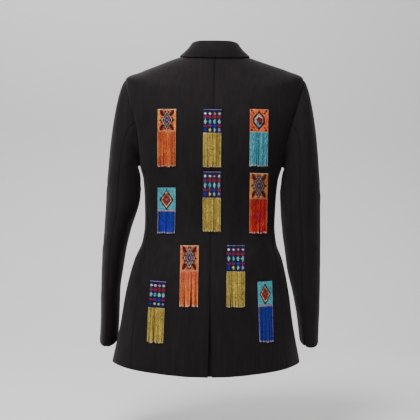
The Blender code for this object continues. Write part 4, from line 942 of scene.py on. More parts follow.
def collar_half(side):
    """Half the collar from the centre back to the gorge: up the stand, over the fold as a
    half circle, and down the fall, which lies on the shoulders and then on the front."""
    rows = table(COLLAR_COLUMNS, COLLAR_ROWS)
    neck = rows["station"] <= COLLAR_FRONT_STATION
    end_angle = float(front_edge(0.0))
    seam_angles = np.linspace(0, end_angle, COLLAR_NECK_STEPS + 1)
    station = through(rows["seam_angle"][neck], rows["station"][neck], seam_angles)
    seam, normal = body(0.0, seam_angles, side)
    flat = unit(normal * np.array([1.0, 1.0, 0.0]))
    under = COLLAR_SEAM_LAP * ramp(seam_angles, end_angle, COLLAR_LAP_FROM)[:, None]
    upward = unit(seam - body(-COLLAR_STEP_DOWN, seam_angles, side)[0])
    base = seam + upward * (SEAM_GAP - under)
    rise = read(rows, "rise", station)[:, None]
    lean = read(rows, "lean", station)[:, None]
    stand = seam + UP * rise - flat * lean - base
    square = (flat * stand).sum(-1, keepdims=True) / (stand ** 2).sum(-1, keepdims=True)
    out = unit(flat - stand * square)
    share = np.linspace(0, 1, COLLAR_FRONT_STEPS + 1)[1:, None]
    roll_height, roll_angle = on_face("front", *(ROLL_TOP + (GORGE - ROLL_TOP) * share).T)
    roll, roll_normal = body(roll_height, roll_angle, side)
    beside = body(roll_height, roll_angle - COLLAR_STEP_ASIDE, side)[0] - roll
    aside = -into_piece(roll, roll_normal, beside)
    station = np.append(station, COLLAR_FRONT_STATION + (1 - COLLAR_FRONT_STATION) * share[:, 0])
    heights = np.append(np.zeros(len(seam_angles)), roll_height)
    angles = np.append(seam_angles, roll_angle)
    base = np.concatenate([base, roll + aside * SEAM_GAP])
    normal = np.concatenate([normal, roll_normal])
    stand = np.concatenate([stand, aside * COLLAR_ROLL_STAND])
    out = np.concatenate([out, roll_normal])
    notch = on_face("front", *(GORGE + np.array(NOTCH_FROM_GORGE)))
    knots = np.append(rows["station"], 1.0)
    edge_height, edge_angle = (through(knots, np.append(rows[name], end), station)
                               for name, end in zip(("edge_height", "edge_angle"), notch))
    hollow = COLLAR_CLEAR / 2
    up = unit(stand)
    centre = base + stand - up * (hollow + FACED_CLOTH) + out * hollow
    foot = base - normal * FACED_CLOTH
    parts = np.linspace(0, 1, COLLAR_STAND_STEPS + 1)
    fold_outer, fold_inner = rolled(centre, out, up, hollow,
                                    np.linspace(math.pi, 0, ROLL_STEPS + 1)[1:])
    outer = [foot + (centre - out * (hollow + FACED_CLOTH) - foot) * part for part in parts]
    inner = [base + (centre - out * hollow - base) * part for part in parts]
    outer += fold_outer
    inner += fold_inner
    lift = COLLAR_CLEAR + FACED_CLOTH
    edge, edge_normal = body(edge_height, edge_angle, side, lift)
    draped = ramp(station, COLLAR_DRAPED_FROM, COLLAR_DRAPED_BY)[:, None]
    bellied = COLLAR_BELLY * (1 - ramp(station, *BELLY_FADES))[:, None]
    for part in np.linspace(0, 1, COLLAR_FALL_STEPS + 1)[1:]:
        free = fold_outer[-1] + (edge - fold_outer[-1]) * part
        free = free + out * bellied * math.sin(math.pi * part)
        lying, lying_normal = body(heights + (edge_height - heights) * part,
                                   angles + (edge_angle - angles) * part, side, lift)
        facing = unit(out * (1 - part) + edge_normal * part) * (1 - draped) + lying_normal * draped
        outer.append(free * (1 - draped) + lying * draped)
        inner.append(outer[-1] - unit(facing) * FACED_CLOTH)
    return np.stack(outer, axis=1), np.stack(inner, axis=1)


def sew_collar(material):
    outer, inner = (np.concatenate([left[::-1], right[1:]])
                    for left, right in zip(collar_half(1), collar_half(-1)))
    kinds = (COLLAR_SEAM_FREE, 1, COLLAR_ENDS_FREE, COLLAR_ENDS_FREE)
    cloth_wall("collar_cloth", outer, inner, kinds, material, ["collar"])


def armhole_loop(side):
    """Points and outward directions round the armhole, from its top down the back edge,
    along the side panel and up the front edge, moved half a seam gap into the hole."""
    rows = np.arange(SHOULDER_ROW, SEAM_ROWS - 1, -1)
    side_heights, side_angles = side_grid()
    back = body(LEVELS[rows], side_edge("back", LEVELS)[rows], side)
    under = body(side_heights[-1], side_angles[-1], side)
    front = body(LEVELS[rows[::-1]], side_edge("front", LEVELS)[rows[::-1]], side)
    points, normals = (np.concatenate([back[i], under[i][1:-1], front[i][:-1]]) for i in range(2))
    along = unit(np.roll(points, -1, axis=0) - np.roll(points, 1, axis=0))
    into = unit(np.cross(normals, along))
    into = into * np.sign((into * (points.mean(axis=0) - points)).sum(-1, keepdims=True))
    return points + into * SEAM_GAP / 2, normals


def sleeve_ring(rows, z, side):
    """An ellipse at one level, tilted forward, as the top and the under sleeve's points."""
    at = {name: float(read(rows, name, z)) for name in SLEEVE_COLUMNS[1:]}
    under_count = FRONT_SEAM_STEP - HIND_SEAM_STEP
    parts = ((FRONT_ARM_ANGLE - 360.0, at["hind_angle"], STEPS_ROUND - under_count),
             (at["hind_angle"], FRONT_ARM_ANGLE, under_count))
    rings = []
    for start, end, count in parts:
        turn = np.radians(np.linspace(start, end, count + 1))
        x = side * (at["middle_x"] + at["half_x"] * np.cos(turn))
        forward = at["half_y"] * np.sin(turn)
        height = z - forward * math.tan(math.radians(at["slope"]))
        rings.append(np.stack([x, at["middle_y"] + forward, height], axis=-1))
    return rings


def sleeve_grids(side, rows):
    """The cap is a cubic Bezier from each point of the armhole, leaving outwards and
    arriving downwards; the arm below it is a stack of rings."""
    loop, loop_normals = armhole_loop(side)
    parts = (np.arange(FRONT_SEAM_STEP, STEPS_ROUND + HIND_SEAM_STEP + 1) % STEPS_ROUND,
             np.arange(HIND_SEAM_STEP, FRONT_SEAM_STEP + 1))
    top = rows["z"][-1]
    biceps, *arm = (sleeve_ring(rows, z, side)
                    for z in np.linspace(top, rows["z"][0], SLEEVE_STEPS + 1))
    below = sleeve_ring(rows, top - CAP_ARRIVES_BY, side)
    stages = np.linspace(0, 1, CAP_STEPS + 1)[:, None, None] ** CAP_STEPS_CROWD
    grids = []
    for part, steps in enumerate(parts):
        start = loop[steps]
        end = biceps[part]
        across = (end[:, 1] - rows["middle_y"][-1]) / rows["half_y"][-1]
        leave = CAP_LEAVES + CAP_LEAVES_MORE * across ** 2
        drop = CAP_DROP + CAP_DROP_MORE * across ** 2
        outward = np.full(len(steps), float(side))
        direction = np.stack([outward, CAP_FORWARD * across, -drop], axis=-1)
        leaving = start + direction * leave[:, None]
        fall = (start[:, 2] - end[:, 2])[:, None]
        arriving = end - unit(below[part] - end) * fall * CAP_SWELL
        cap = (start * (1 - stages) ** 3 + leaving * 3 * stages * (1 - stages) ** 2
               + arriving * 3 * stages ** 2 * (1 - stages) + end * stages ** 3)
        grids.append(np.concatenate([cap, np.array([rings[part] for rings in arm])]))
    return grids, [loop_normals[steps] for steps in parts]


def joined_normals(grids):
    """Outward directions taken on the whole ring, so that they agree along both seams."""
    top, under = grids
    ring = np.concatenate([top, under[:, 1:]], axis=1)
    padded = np.concatenate([ring[:, -2:-1], ring, ring[:, 1:2]], axis=1)
    normals = unit(np.cross(np.gradient(ring, axis=0), padded[:, 2:] - padded[:, :-2]))
    outward = ring - ring.mean(axis=1, keepdims=True)
    normals = normals * np.sign((normals * outward).sum(-1)[-1].mean())
    columns = top.shape[1]
    return normals[:, :columns], normals[:, columns - 1:]


def sleeve_fold_stand(grid, rows, side):
    """Sum of stand * exp(-(turn / reach)^2 - ((z - line) / reach)^2) over the sleeve folds,
    where line climbs by rise over one reach of the turn."""
    z = grid[..., 2]
    out = side * grid[..., 0] - read(rows, "middle_x", z)
    turn = np.degrees(np.arctan2(grid[..., 1] - read(rows, "middle_y", z), out))
    total = 0.0
    for fold in named(SLEEVE_FOLD_COLUMNS, SLEEVE_FOLD_ROWS):
        away = ((turn - fold["angle"] + 180.0) % 360.0 - 180.0) / fold["reach_round"]
        line = fold["z"] + fold["rise"] * away
        total += fold["stand"] * np.exp(-away ** 2 - ((z - line) / fold["reach_down"]) ** 2)
    return total


def sew_sleeve(word, rows, material):
    """The top and the under sleeve, and the cloth turned in behind the cuff's vent."""
    side = SIDES[word]
    rows = table(SLEEVE_COLUMNS, rows)
    below_cuff = rows["z"][0] - CUFF_EASES_BELOW
    grids, loop_normals = sleeve_grids(side, rows)
    normals = joined_normals(grids)
    count = np.arange(len(grids[0]))
    settle = np.exp(-count / SLEEVE_SETTLES)[:, None, None]
    eased = ramp(count, 0, SLEEVE_FOLDS_EASE)[:, None]
    for part, (name, hind, fore) in enumerate((("top", -1, 0), ("under", 0, -1))):
        outward = unit(normals[part] * (1 - settle) + loop_normals[part] * settle)
        stand = sleeve_fold_stand(grids[part], rows, side) * eased
        grid = grids[part] + outward * stand[..., None]
        height = grid[:, 0, 2]
        opening = CUFF_VENT_OPEN * ramp(height, CUFF_VENT_TOP, below_cuff)
        moved = grid.copy()
        for edge, space in ((hind, opening), (fore, np.zeros(len(grid)))):
            beside = 1 if edge == 0 else -2
            inward = into_piece(grid[:, edge], outward[:, edge], grid[:, beside] - grid[:, edge])
            moved[:, edge] += inward * (SEAM_GAP / 2 + space)[:, None]
        vent = ramp(height, CUFF_VENT_TOP, CUFF_VENT_TOP - CUFF_VENT_STARTS)
        kinds = (0, vent, 0, 1) if name == "top" else (vent, 0, 0, 1)
        cloth_wall("sleeve_cloth_" + word + "_" + name, moved, moved - outward * CLOTH, kinds,
                   material, ["sleeve_" + word + "_" + name])
    low = grids[0][:, -1, 2] < CUFF_VENT_TOP + CUFF_LAP_ABOVE
    strip, facing = (
        np.concatenate([top[low, -CUFF_LAP_STEPS:], under[low, 1:CUFF_LAP_STEPS]], axis=1)
        for top, under in (grids, normals))
    strip = strip - facing * (CLOTH + CUFF_LAP_DEPTH)
    strip[-1] += (strip[-2] - strip[-1]) * CUFF_LAP_SHORTER
    cloth_wall("cuff_lap_" + word, strip, strip - facing * CLOTH, FREE_ALL_ROUND, material, [])


def fill(tree, inputs, feeds):
    """Feeds inputs by name or number: with a link from a socket, or a plain value."""
    for label, value in feeds.items():
        if isinstance(value, bpy.types.NodeSocket):
            tree.links.new(value, inputs[label])
        else:
            inputs[label].default_value = value


def add_node(tree, kind, feeds, **settings):
    """The outputs of a new node with these settings and inputs."""
    node = tree.nodes.new("ShaderNode" + kind)
    for name, value in settings.items():
        setattr(node, name, value)
    fill(tree, node.inputs, feeds)
    return node.outputs


def maths(tree, operation, *values):
    return add_node(tree, "Math", dict(enumerate(values)), operation=operation)[0]


def scaled(tree, value, by, plus):
    return maths(tree, "MULTIPLY_ADD", value, by, plus)


def noise(tree, place, scale, detail):
    return add_node(tree, "TexNoise", {"Vector": place, "Scale": scale, "Detail": detail})["Fac"]


def bump(tree, height, strength, distance, **more):
    feeds = {"Height": height, "Strength": strength, "Distance": distance}
    return add_node(tree, "Bump", {**feeds, **more})["Normal"]


def blended(tree, share, dark, light):
    """Colour between two, by a share from 0 to 1."""
    feeds = {"A": (*dark, 1.0), "B": (*light, 1.0), "Factor": share}
    return add_node(tree, "Mix", feeds, data_type="RGBA")["Result"]


def object_place(tree):
    return add_node(tree, "TexCoord", {})["Object"]


def attribute(tree, name):
    return add_node(tree, "Attribute", {}, attribute_name=name)


def shader_group(name, inputs, outputs):
    """An empty node group, with the kind of each named output, and the kind or the usual
    number of each named input."""
    group = bpy.data.node_groups.new(name, "ShaderNodeTree")
    for label, usual in inputs.items():
        kind = usual if isinstance(usual, str) else "Float"
        socket = group.interface.new_socket(label, in_out="INPUT", socket_type="NodeSocket" + kind)
        if kind == "Float":
            socket.default_value = usual
    for label, kind in outputs.items():
        group.interface.new_socket(label, in_out="OUTPUT", socket_type="NodeSocket" + kind)
    start = group.nodes.new("NodeGroupInput")
    end = group.nodes.new("NodeGroupOutput")
    return group, start.outputs, end.inputs


def twill_group():
    """Fine twill: warp and weft threads as half waves, |sin(pi u)| and |sin(pi v)|, with the
    weft on top where floor(u) + floor(v) is a multiple of three."""
    group, start, end = shader_group(
        "Suiting Twill", {"Cloth Place": "Vector", "Threads per Metre": 1600.0},
        {"Thread Height": "Float", "Painted Thread Shade": "Float"})
    split = add_node(group, "SeparateXYZ", {0: start["Cloth Place"]})
    places = [maths(group, "MULTIPLY", split[axis], start["Threads per Metre"]) for axis in "XY"]
    waves_up = [maths(group, "SINE", maths(group, "MULTIPLY", place, math.pi)) for place in places]
    warp, weft = (maths(group, "ABSOLUTE", wave) for wave in waves_up)
    step = maths(group, "ADD", *(maths(group, "FLOOR", place) for place in places))
    on_top = maths(group, "LESS_THAN", maths(group, "FLOORED_MODULO", step, 3.0), 0.5)
    below = maths(group, "MULTIPLY", warp, maths(group, "SUBTRACT", 1.0, on_top))
    height = maths(group, "ADD", below, maths(group, "MULTIPLY", weft, on_top))
    # Painted shade of the weave: lighter on each thread's crown and on the weft floats, darker in
    # the hollows between threads
    shade = scaled(group, on_top, 0.5, maths(group, "MULTIPLY", height, 0.5))
    fill(group, end, {"Thread Height": height, "Painted Thread Shade": shade})
    return group


def nap_group():
    """Slow unevenness of pressed wool, a fine fuzz over it, and upright streaks of the warp,
    from three noises."""
    group, start, end = shader_group(
        "Wool Nap", {"Place": "Vector", "Patches per Metre": 22.0, "Fuzz per Metre": 900.0,
                     "Streaks per Metre": 170.0},
        {"Unevenness": "Float", "Fuzz": "Float", "Streaks": "Float"})
    place = start["Place"]
    drawn_out = add_node(group, "VectorMath", {0: place, 1: (1.0, 1.0, STREAK_SHORTENS)},
                         operation="MULTIPLY")["Vector"]
    fill(group, end, {
        "Unevenness": noise(group, place, start["Patches per Metre"], 3.0),
        "Fuzz": noise(group, place, start["Fuzz per Metre"], 2.0),
        "Streaks": noise(group, drawn_out, start["Streaks per Metre"], 2.0),
    })
    return group


def new_finish(name):
    """A material, its node tree and the inputs of its surface shader."""
    material = bpy.data.materials.new(name)
    material.use_nodes = True
    tree = material.node_tree
    return material, tree, tree.nodes["Principled BSDF"].inputs


def wool_finish(name, dark, light, threads, sheen):
    """Black suiting: twill threads on the cloth's own UV, nap on Object coordinates."""
    material, tree, surface = new_finish(name)
    cloth = add_node(tree, "UVMap", {}, uv_map="cloth")["UV"]
    weave = add_node(tree, "Group", {"Cloth Place": cloth, "Threads per Metre": threads},
                     node_tree=TWILL)
    nap = add_node(tree, "Group", {"Place": object_place(tree)}, node_tree=NAP)
    uneven = nap["Unevenness"]
    # The colour's share mixes the nap's unevenness with the painted shade of the weave
    share = scaled(tree, uneven, NAP_LIGHTENS,
                   scaled(tree, weave["Painted Thread Shade"], PAINTED_THREAD_SHADE, WOOL_SHADE))
    # Warp streaks, and the painted shade at seams and vents, both scale the colour, specular and
    # sheen below
    streaked = scaled(tree, nap["Streaks"], STREAK_LIGHTENS, 1 - STREAK_LIGHTENS / 2)
    painted_seam_factor = scaled(tree, attribute(tree, "painted_seam_shade")["Fac"], -PAINTED_SEAM_SHADE_DEPTH, 1.0)
    streaks_with_painted_shade = maths(tree, "MULTIPLY", painted_seam_factor, streaked)
    colour = add_node(tree, "VectorMath", {0: blended(tree, share, dark, light), "Scale": streaks_with_painted_shade},
                      operation="SCALE")["Vector"]
    threads_up = scaled(tree, nap["Fuzz"], FUZZ_STANDS, weave["Thread Height"])
    woven = bump(tree, threads_up, 0.35, THREAD_STANDS)
    fill(tree, surface, {
        "Base Color": colour,
        "Specular IOR Level": maths(tree, "MULTIPLY", streaks_with_painted_shade, WOOL_SPECULAR),
        "Sheen Weight": maths(tree, "MULTIPLY", streaks_with_painted_shade, sheen),
        "Roughness": scaled(tree, uneven, 0.16, 0.70),
        "Normal": bump(tree, uneven, 0.30, NAP_STANDS, Normal=woven),
        "Specular Tint": (1.0, 0.90, 0.94, 1.0),
        "Sheen Tint": (1.0, 0.88, 0.92, 1.0),
        "Sheen Roughness": 0.45,
    })
    return material


def horn_finish():
    """Polished black horn: faint brown streaks, and a roughness that varies with a fine noise."""
    material, tree, surface = new_finish("black_horn")
    drawn_in = add_node(tree, "Mapping", {"Vector": object_place(tree), "Scale": (1.0, 1.0, 4.0)})
    grain = add_node(tree, "Group", {"Place": drawn_in["Vector"], "Patches per Metre": 90.0,
                                     "Fuzz per Metre": 1500.0}, node_tree=NAP)
    share = scaled(tree, grain["Unevenness"], 2.4, -0.9)
    fill(tree, surface, {"Base Color": blended(tree, share, HORN_DARK, HORN_BROWN),
                         "Roughness": scaled(tree, grain["Fuzz"], 0.18, 0.16)})
    return material


def paper_finish():
    """Plain pale seamless paper."""
    material, tree, surface = new_finish("pale_paper")
    grain = add_node(tree, "Group", {"Place": object_place(tree), "Patches per Metre": 1.5},
                     node_tree=NAP)
    fill(tree, surface, {"Base Color": blended(tree, grain["Unevenness"], PAPER_DARK, PAPER_LIGHT),
                         "Roughness": 0.9})
    return material


def tube_along(path, radius, sides=8):
    """A tube round a path: path + radius (first cos a + second sin a), with closed ends."""
    along = unit(np.gradient(path, axis=0))
    upright = np.abs(along[:, 2:]) > UPRIGHT
    first = unit(np.cross(along, np.where(upright, np.array([1.0, 0, 0]), UP)))
    second = np.cross(along, first)
    turn = np.linspace(0, 2 * math.pi, sides, endpoint=False)[None, :, None]
    spokes = first[:, None] * np.cos(turn) + second[:, None] * np.sin(turn)
    rings = path[:, None] + radius * spokes
    low = np.arange(sides)
    high = low + (len(path) - 1) * sides
    half = range(sides // 2 - 1)
    caps = [(low[i + 1], low[i], low[-i - 1], low[-i - 2]) for i in half]
    caps += [(high[i], high[i + 1], high[-i - 2], high[-i - 1]) for i in half]
    return rings.reshape(-1, 3), np.concatenate([squares(len(path), sides, True), caps])


def close_ends(made):
    """Closes the open rings at the ends of a mesh, and turns its faces outwards."""
    work = bmesh.new()
    work.from_mesh(made.data)
    bmesh.ops.holes_fill(work, edges=work.edges[:])
    bmesh.ops.recalc_face_normals(work, faces=work.faces[:])
    work.to_mesh(made.data)
    work.free()


def thread_object(name, tubes, thread):
    """One piece of several tubes of thread."""
    points = np.concatenate([tube[0] for tube in tubes])
    starts = np.cumsum([0] + [len(tube[0]) for tube in tubes[:-1]])
    faces = np.concatenate([tube[1] + start for tube, start in zip(tubes, starts)])
    made = mesh_object(name, points, faces, points[:, [0, 2]])
    close_ends(made)
    dress(made, thread)


def turned_button(number, x, z, horn, thread):
    """A lathe-turned button: height = thickness - dish - rounded rim - four holes, each
    exp(-(distance / radius)^4); two stitches of thread cross it."""
    places, normals = drape_front(np.array([[-x, z]]), -1, BUTTON_CLEAR)
    place = places[0]
    normal = normals[0]
    across = unit(np.cross(UP, normal))
    up = np.cross(normal, across)
    share = np.concatenate([np.linspace(*span) for span in BUTTON_RING_SPANS])
    turn = np.linspace(0, 2 * math.pi, BUTTON_SIDES, endpoint=False)
    radius, angle = np.meshgrid(share * BUTTON_RADIUS, turn, indexing="ij")
    rim = BUTTON_RADIUS - BUTTON_RIM / 2
    height = BUTTON_THICK - BUTTON_DISH * ramp(radius, rim, rim - BUTTON_RIM)
    over = np.clip((radius - rim) / (BUTTON_RIM / 2), 0, 1)
    height = height - BUTTON_RIM * BUTTON_ROUNDED * (1 - np.sqrt(1 - over ** 2 * ROUNDED))
    for hole_x in (-BUTTON_HOLE_AWAY, BUTTON_HOLE_AWAY):
        for hole_y in (-BUTTON_HOLE_AWAY, BUTTON_HOLE_AWAY):
            away = np.hypot(radius * np.cos(angle) - hole_x, radius * np.sin(angle) - hole_y)
            height = height - BUTTON_HOLE_DEPTH * np.exp(-(away / BUTTON_HOLE_RADIUS) ** 4)
    low_radius, low_height = np.array(BUTTON_UNDERSIDE).T[:, :, None] * np.ones(BUTTON_SIDES)
    radius = np.concatenate([radius, low_radius * BUTTON_RADIUS])[..., None]
    height = np.concatenate([height, low_height * BUTTON_THICK])[..., None]
    ring = np.cos(turn)[:, None] * across + np.sin(turn)[:, None] * up
    points = place + radius * ring + height * normal
    faces = squares(len(points), BUTTON_SIDES, True)[:, ::-1]
    made = mesh_object("horn_button_%d" % number, points.reshape(-1, 3), faces)
    close_ends(made)
    dress(made, horn, ["button_%d" % number])
    tubes = []
    run = np.linspace(-STITCH_REACH, STITCH_REACH, STITCH_POINTS)[:, None]
    hump = BUTTON_THICK - BUTTON_DISH + STITCH_STANDS
    hump = hump - STITCH_SINKS * ramp(np.abs(run), *STITCH_DIVES)
    for sign in (-1, 1):
        for strand in (-0.5, 0.5):
            path = (place + (across + up * sign) * run * BUTTON_HOLE_AWAY
                    + (up - across * sign) * strand * STITCH_APART
                    + normal * (hump + (STITCH_CROSSES if sign > 0 else 0.0)))
            tubes.append(tube_along(path, THREAD_RADIUS))
    thread_object("button_stitch_%d" % number, tubes, thread)


def worked_buttonhole(number, x, z, thread):
    """Close stitches round a slit: a thread that winds round a long oval, as
    oval(t) + radius * (aside cos(w t) + out sin(w t))."""
    turn = np.linspace(0, 2 * math.pi, HOLE_STITCHES * HOLE_STITCH_POINTS)
    wind = turn * HOLE_STITCHES
    stretch = np.clip(np.cos(turn) * HOLE_STRAIGHTENS, -1, 1) * (HOLE_LENGTH - HOLE_WIDTH) / 2
    reach = HOLE_WIDTH / 2 + np.cos(wind) * HOLE_WIDTH * HOLE_STITCH_REACH
    oval = np.stack([-(x + stretch + np.cos(turn) * reach), z + np.sin(turn) * reach], axis=-1)
    lift = THREAD_RADIUS * HOLE_STITCH_LIFT * (1 + np.sin(wind))
    path = drape_front(oval, -1, lift)[0]
    thread_object("worked_buttonhole_%d" % number,
                  [tube_along(path, THREAD_RADIUS * HOLE_THREAD_FINER, sides=6)], thread)


def sew_buttons(horn, thread):
    number = 0
    for z in BUTTON_HEIGHTS:
        for x in (-BUTTON_X, BUTTON_X):
            number += 1
            turned_button(number, x, z, horn, thread)
        worked_buttonhole(number // 2, BUTTON_X - HOLE_LENGTH / 2 + HOLE_PAST_BUTTON, z, thread)


TWILL = twill_group()
NAP = nap_group()
wool = wool_finish("black_suiting", WOOL_DARK, WOOL_LIGHT, 1600.0, 0.06)
facing_wool = wool_finish("black_suiting_facing", WOOL_DARK, WOOL_LIGHT, 1900.0, 0.08)
sew_backs(wool)
sew_underlap(wool)
sew_sides(wool)
sew_fronts(wool)
sew_lapels(facing_wool)
sew_collar(facing_wool)
sew_sleeve("left", LEFT_SLEEVE_ROWS, wool)
sew_sleeve("right", RIGHT_SLEEVE_ROWS, wool)
sew_buttons(horn_finish(), wool_finish("button_thread", TWIST_DARK, TWIST_LIGHT, 3200.0, 0.1))


# Bead colours as red, green and blue light from 0 to 1, and which one the strings of each
# fringe have
BEAD_COLOURS = {
    "orange": (0.700, 0.130, 0.028),
    "amber": (0.740, 0.300, 0.080),
    "coral": (0.700, 0.170, 0.110),
    "navy": (0.007, 0.009, 0.060),
    "ink": (0.006, 0.005, 0.008),
    "royal": (0.009, 0.026, 0.330),
    "turquoise": (0.080, 0.380, 0.480),
    "mint": (0.240, 0.500, 0.420),
    "gold": (0.520, 0.375, 0.070),
    "lemon": (0.700, 0.560, 0.130),
    "cream": (0.740, 0.660, 0.480),
    "sand": (0.560, 0.460, 0.310),
    "white": (0.800, 0.780, 0.720),
    "pink": (0.640, 0.200, 0.240),
    "magenta": (0.200, 0.014, 0.080),
    "crimson": (0.260, 0.012, 0.022),
    "brick": (0.230, 0.026, 0.016),
    "lilac": (0.300, 0.220, 0.480),
    "red": (0.540, 0.012, 0.012),
}
STRING_COLOURS = {"orange": "orange", "gold": "gold", "turquoise": "turquoise", "blue": "royal",
                  "red": "red"}
LUSTRE = 0.30
BEAD_PITCH = 0.00150
BEAD_ROW = 0.00176
BEAD_RADIUS = 0.00090
BEAD_SIDES = 6
BEAD_RINGS = ((-0.47, 0.60), (0.0, 1.0), (0.47, 0.60))
BEAD_WANDERS = (0.00006, 0.00008)
PANEL_LIFT = 0.0008
STRING_PITCH = 0.00190
STRING_BEAD = 0.00160
STRING_RADIUS = 0.00088
STRING_LIFT = 0.0006
STRING_GATHERS = 0.34
NEW_BUNCH = 0.50
STRING_ENDS = (0.970, 1.0)
STRING_SWAYS = 0.00025
STRING_LEANS = 0.0012
STRING_RIPPLE = 0.0004
RIPPLE_BY_BEAD = 0.9
RIPPLE_BY_STRING = 2.1
PALE_LAST = 0.34
PALE_FIRST = 0.22
PALE_OUTER = 0.20
SHADE_SPREAD = 0.28
SHADE_LIMITS = (0.45, 1.6)
STRING_SHADE = 0.30
STRING_SHADE_LIMITS = (0.55, 1.5)
PLACES_TRIED = 6
SHORT_WAY = 0.001
PANEL_SEED = 100
FRINGE_SEED = 200


def seen_from_behind(patch, down, across, out):
    """Points on the back and directions from it, over places on a patch: down from its top
    edge and across from its middle line. The form's own place is moved by what is still
    missing, over and over."""
    x = patch["x"] + patch["slant"] * down - across
    z = patch["top_z"] - down - patch["slant"] * across
    form_x = x - read(STANCE, "lean", z)
    form_z = z
    for _ in range(PLACES_TRIED):
        side = np.where(form_x < 0, -1.0, 1.0)
        points, normals = body(*on_face("back", np.abs(form_x), form_z), side)
        form_x = form_x + (x - points[..., 0])
        form_z = form_z + (z - points[..., 2])
    return points + normals * out[..., None], normals


def painted(ground, layers):
    """Names of the beads' colours: the ground's, and over it each layer's where it holds."""
    names = np.full(layers[0][1].shape, ground, dtype="<U9")
    for name, where in layers:
        names[where] = name
    return names


def centred(column, row, wide, high):
    """Places from -1 to 1 across and down a panel, and which beads are the even ones."""
    u = (column - (wide - 1) / 2) / (wide / 2)
    v = (row - (high - 1) / 2) / (high / 2)
    return u, v, (column + row) % 2 == 0


def rayed_motif(column, row, wide, high):
    """Concentric diamonds, |u| / half width + |v| / half height, dark with two pale
    outlines, in a lighter frame with dark rays from its corners."""
    *places, even = centred(column, row, wide, high)
    across, down = np.abs(places)
    ring = across / 0.58 + down / 0.82
    ray = np.abs(across / 0.86 - down)
    inside = (across < 0.76) & (down < 0.92)
    outline = (ring > 0.88) & (ring < 1.00)
    inner = (ring > 0.46) & (ring < 0.60)
    return painted("orange", (
        ("crimson", (ray < 0.30) & (down > 0.25)),
        ("ink", (ray < 0.11) & (ring > 1.0)),
        ("amber", (across > 0.80) | (down > 0.93)),
        ("cream", (row == 0) & even),
        ("ink", (ring < 1.30) & inside),
        ("pink", (ring > 1.12) & (ring < 1.34) & inside & (row % 4 == 1)),
        ("sand", outline),
        ("cream", outline & (row % 4 == 0)),
        ("brick", (ring < 0.72) & (ring > 0.62) & even),
        ("pink", inner),
        ("mint", inner & (row % 3 == 0)),
        ("navy", ring < 0.32),
        ("lilac", ring < 0.18),
        ("ink", (down < 0.05) & (across > 0.56) & (across < 0.86)),
    ))


def starred_motif(column, row, wide, high):
    """A dark pointed outline round pale quarters and a red heart, on a ground with some
    coral beads and with dotted dark rays at its corners."""
    u, v, even = centred(column, row, wide, high)
    across, down = np.abs((u, v))
    outline = np.maximum(across / 0.60, across / 0.95 + down / 0.84)
    heart = across / 0.26 + down / 0.34
    ray = np.abs(across / 0.92 - down)
    inside = outline < 0.76
    return painted("orange", (
        ("coral", (column * 3 + row * 5) % 5 == 0),
        ("coral", (v < -0.3) & (column % 5 == 1)),
        ("amber", (row == 0) & even),
        ("ink", (ray < 0.10) & (outline > 1.1) & (row % 3 > 0)),
        ("ink", (across < 0.05) & (down < 0.94)),
        ("ink", outline < 1.0),
        ("mint", inside & (u < 0)),
        ("coral", inside & (u >= 0) & even),
        ("cream", inside & (v < -0.24)),
        ("pink", inside & (v < -0.24) & even),
        ("turquoise", inside & (v > 0.36)),
        ("lilac", inside & (v > 0.20) & even),
        ("ink", inside & (heart > 1.0) & (heart < 1.4) & even),
        ("crimson", heart < 1.0),
        ("magenta", heart < 0.45),
    ))


def lozenge_motif(column, row, wide, high):
    """One tall diamond with a thick dark outline, a dotted pale one and a red middle, and a
    short dark tick above and below it."""
    u, v, even = centred(column, row, wide, high)
    across, down = np.abs((u, v - 0.04))
    ring = across / 0.74 + down / 0.84
    return painted("turquoise", (
        ("mint", (column * 5 + row * 3) % 11 == 0),
        ("ink", (across < 0.04) & (down < 0.96)),
        ("ink", ring < 1.05),
        ("amber", ring < 0.82),
        ("cream", (ring < 0.82) & even),
        ("brick", ring < 0.68),
        ("crimson", (ring > 0.26) & (ring < 0.42) & even),
        ("lilac", (ring < 0.16) & even),
        ("pink", row == high - 1),
    ))


def rows_motif(column, row, wide, high):
    """Rows of four small diamonds on navy: each row has its place down the panel, its
    half width and half height in beads, and four colours."""
    pitch = wide / 4
    place = (column + 0.5) / pitch
    which = place.astype(int)
    away = np.abs(place - which - 0.5) * pitch
    lines = (
        (0.17, 2.0, 1.9, ("white", "cream", "pink", "cream")),
        (0.33, 3.6, 2.6, ("magenta", "crimson", "brick", "crimson")),
        (0.53, 2.2, 3.6, ("mint", "turquoise", "mint", "mint")),
        (0.70, 3.4, 2.2, ("magenta", "magenta", "royal", "crimson")),
        (0.88, 2.0, 2.6, ("royal", "lemon", "mint", "lilac")),
    )
    layers = []
    for share, half_wide, half_high, colours in lines:
        inside = away / half_wide + np.abs(row - round(share * (high - 1))) / half_high <= 1.0
        layers += [(colour, inside & (which == number)) for number, colour in enumerate(colours)]
    return painted("navy", layers + [("lilac", (row == 0) & (column % 3 > 0))])


MOTIFS = {"rayed": (rayed_motif, "orange"), "starred": (starred_motif, "orange"),
          "lozenge": (lozenge_motif, "turquoise"), "rows": (rows_motif, "navy")}


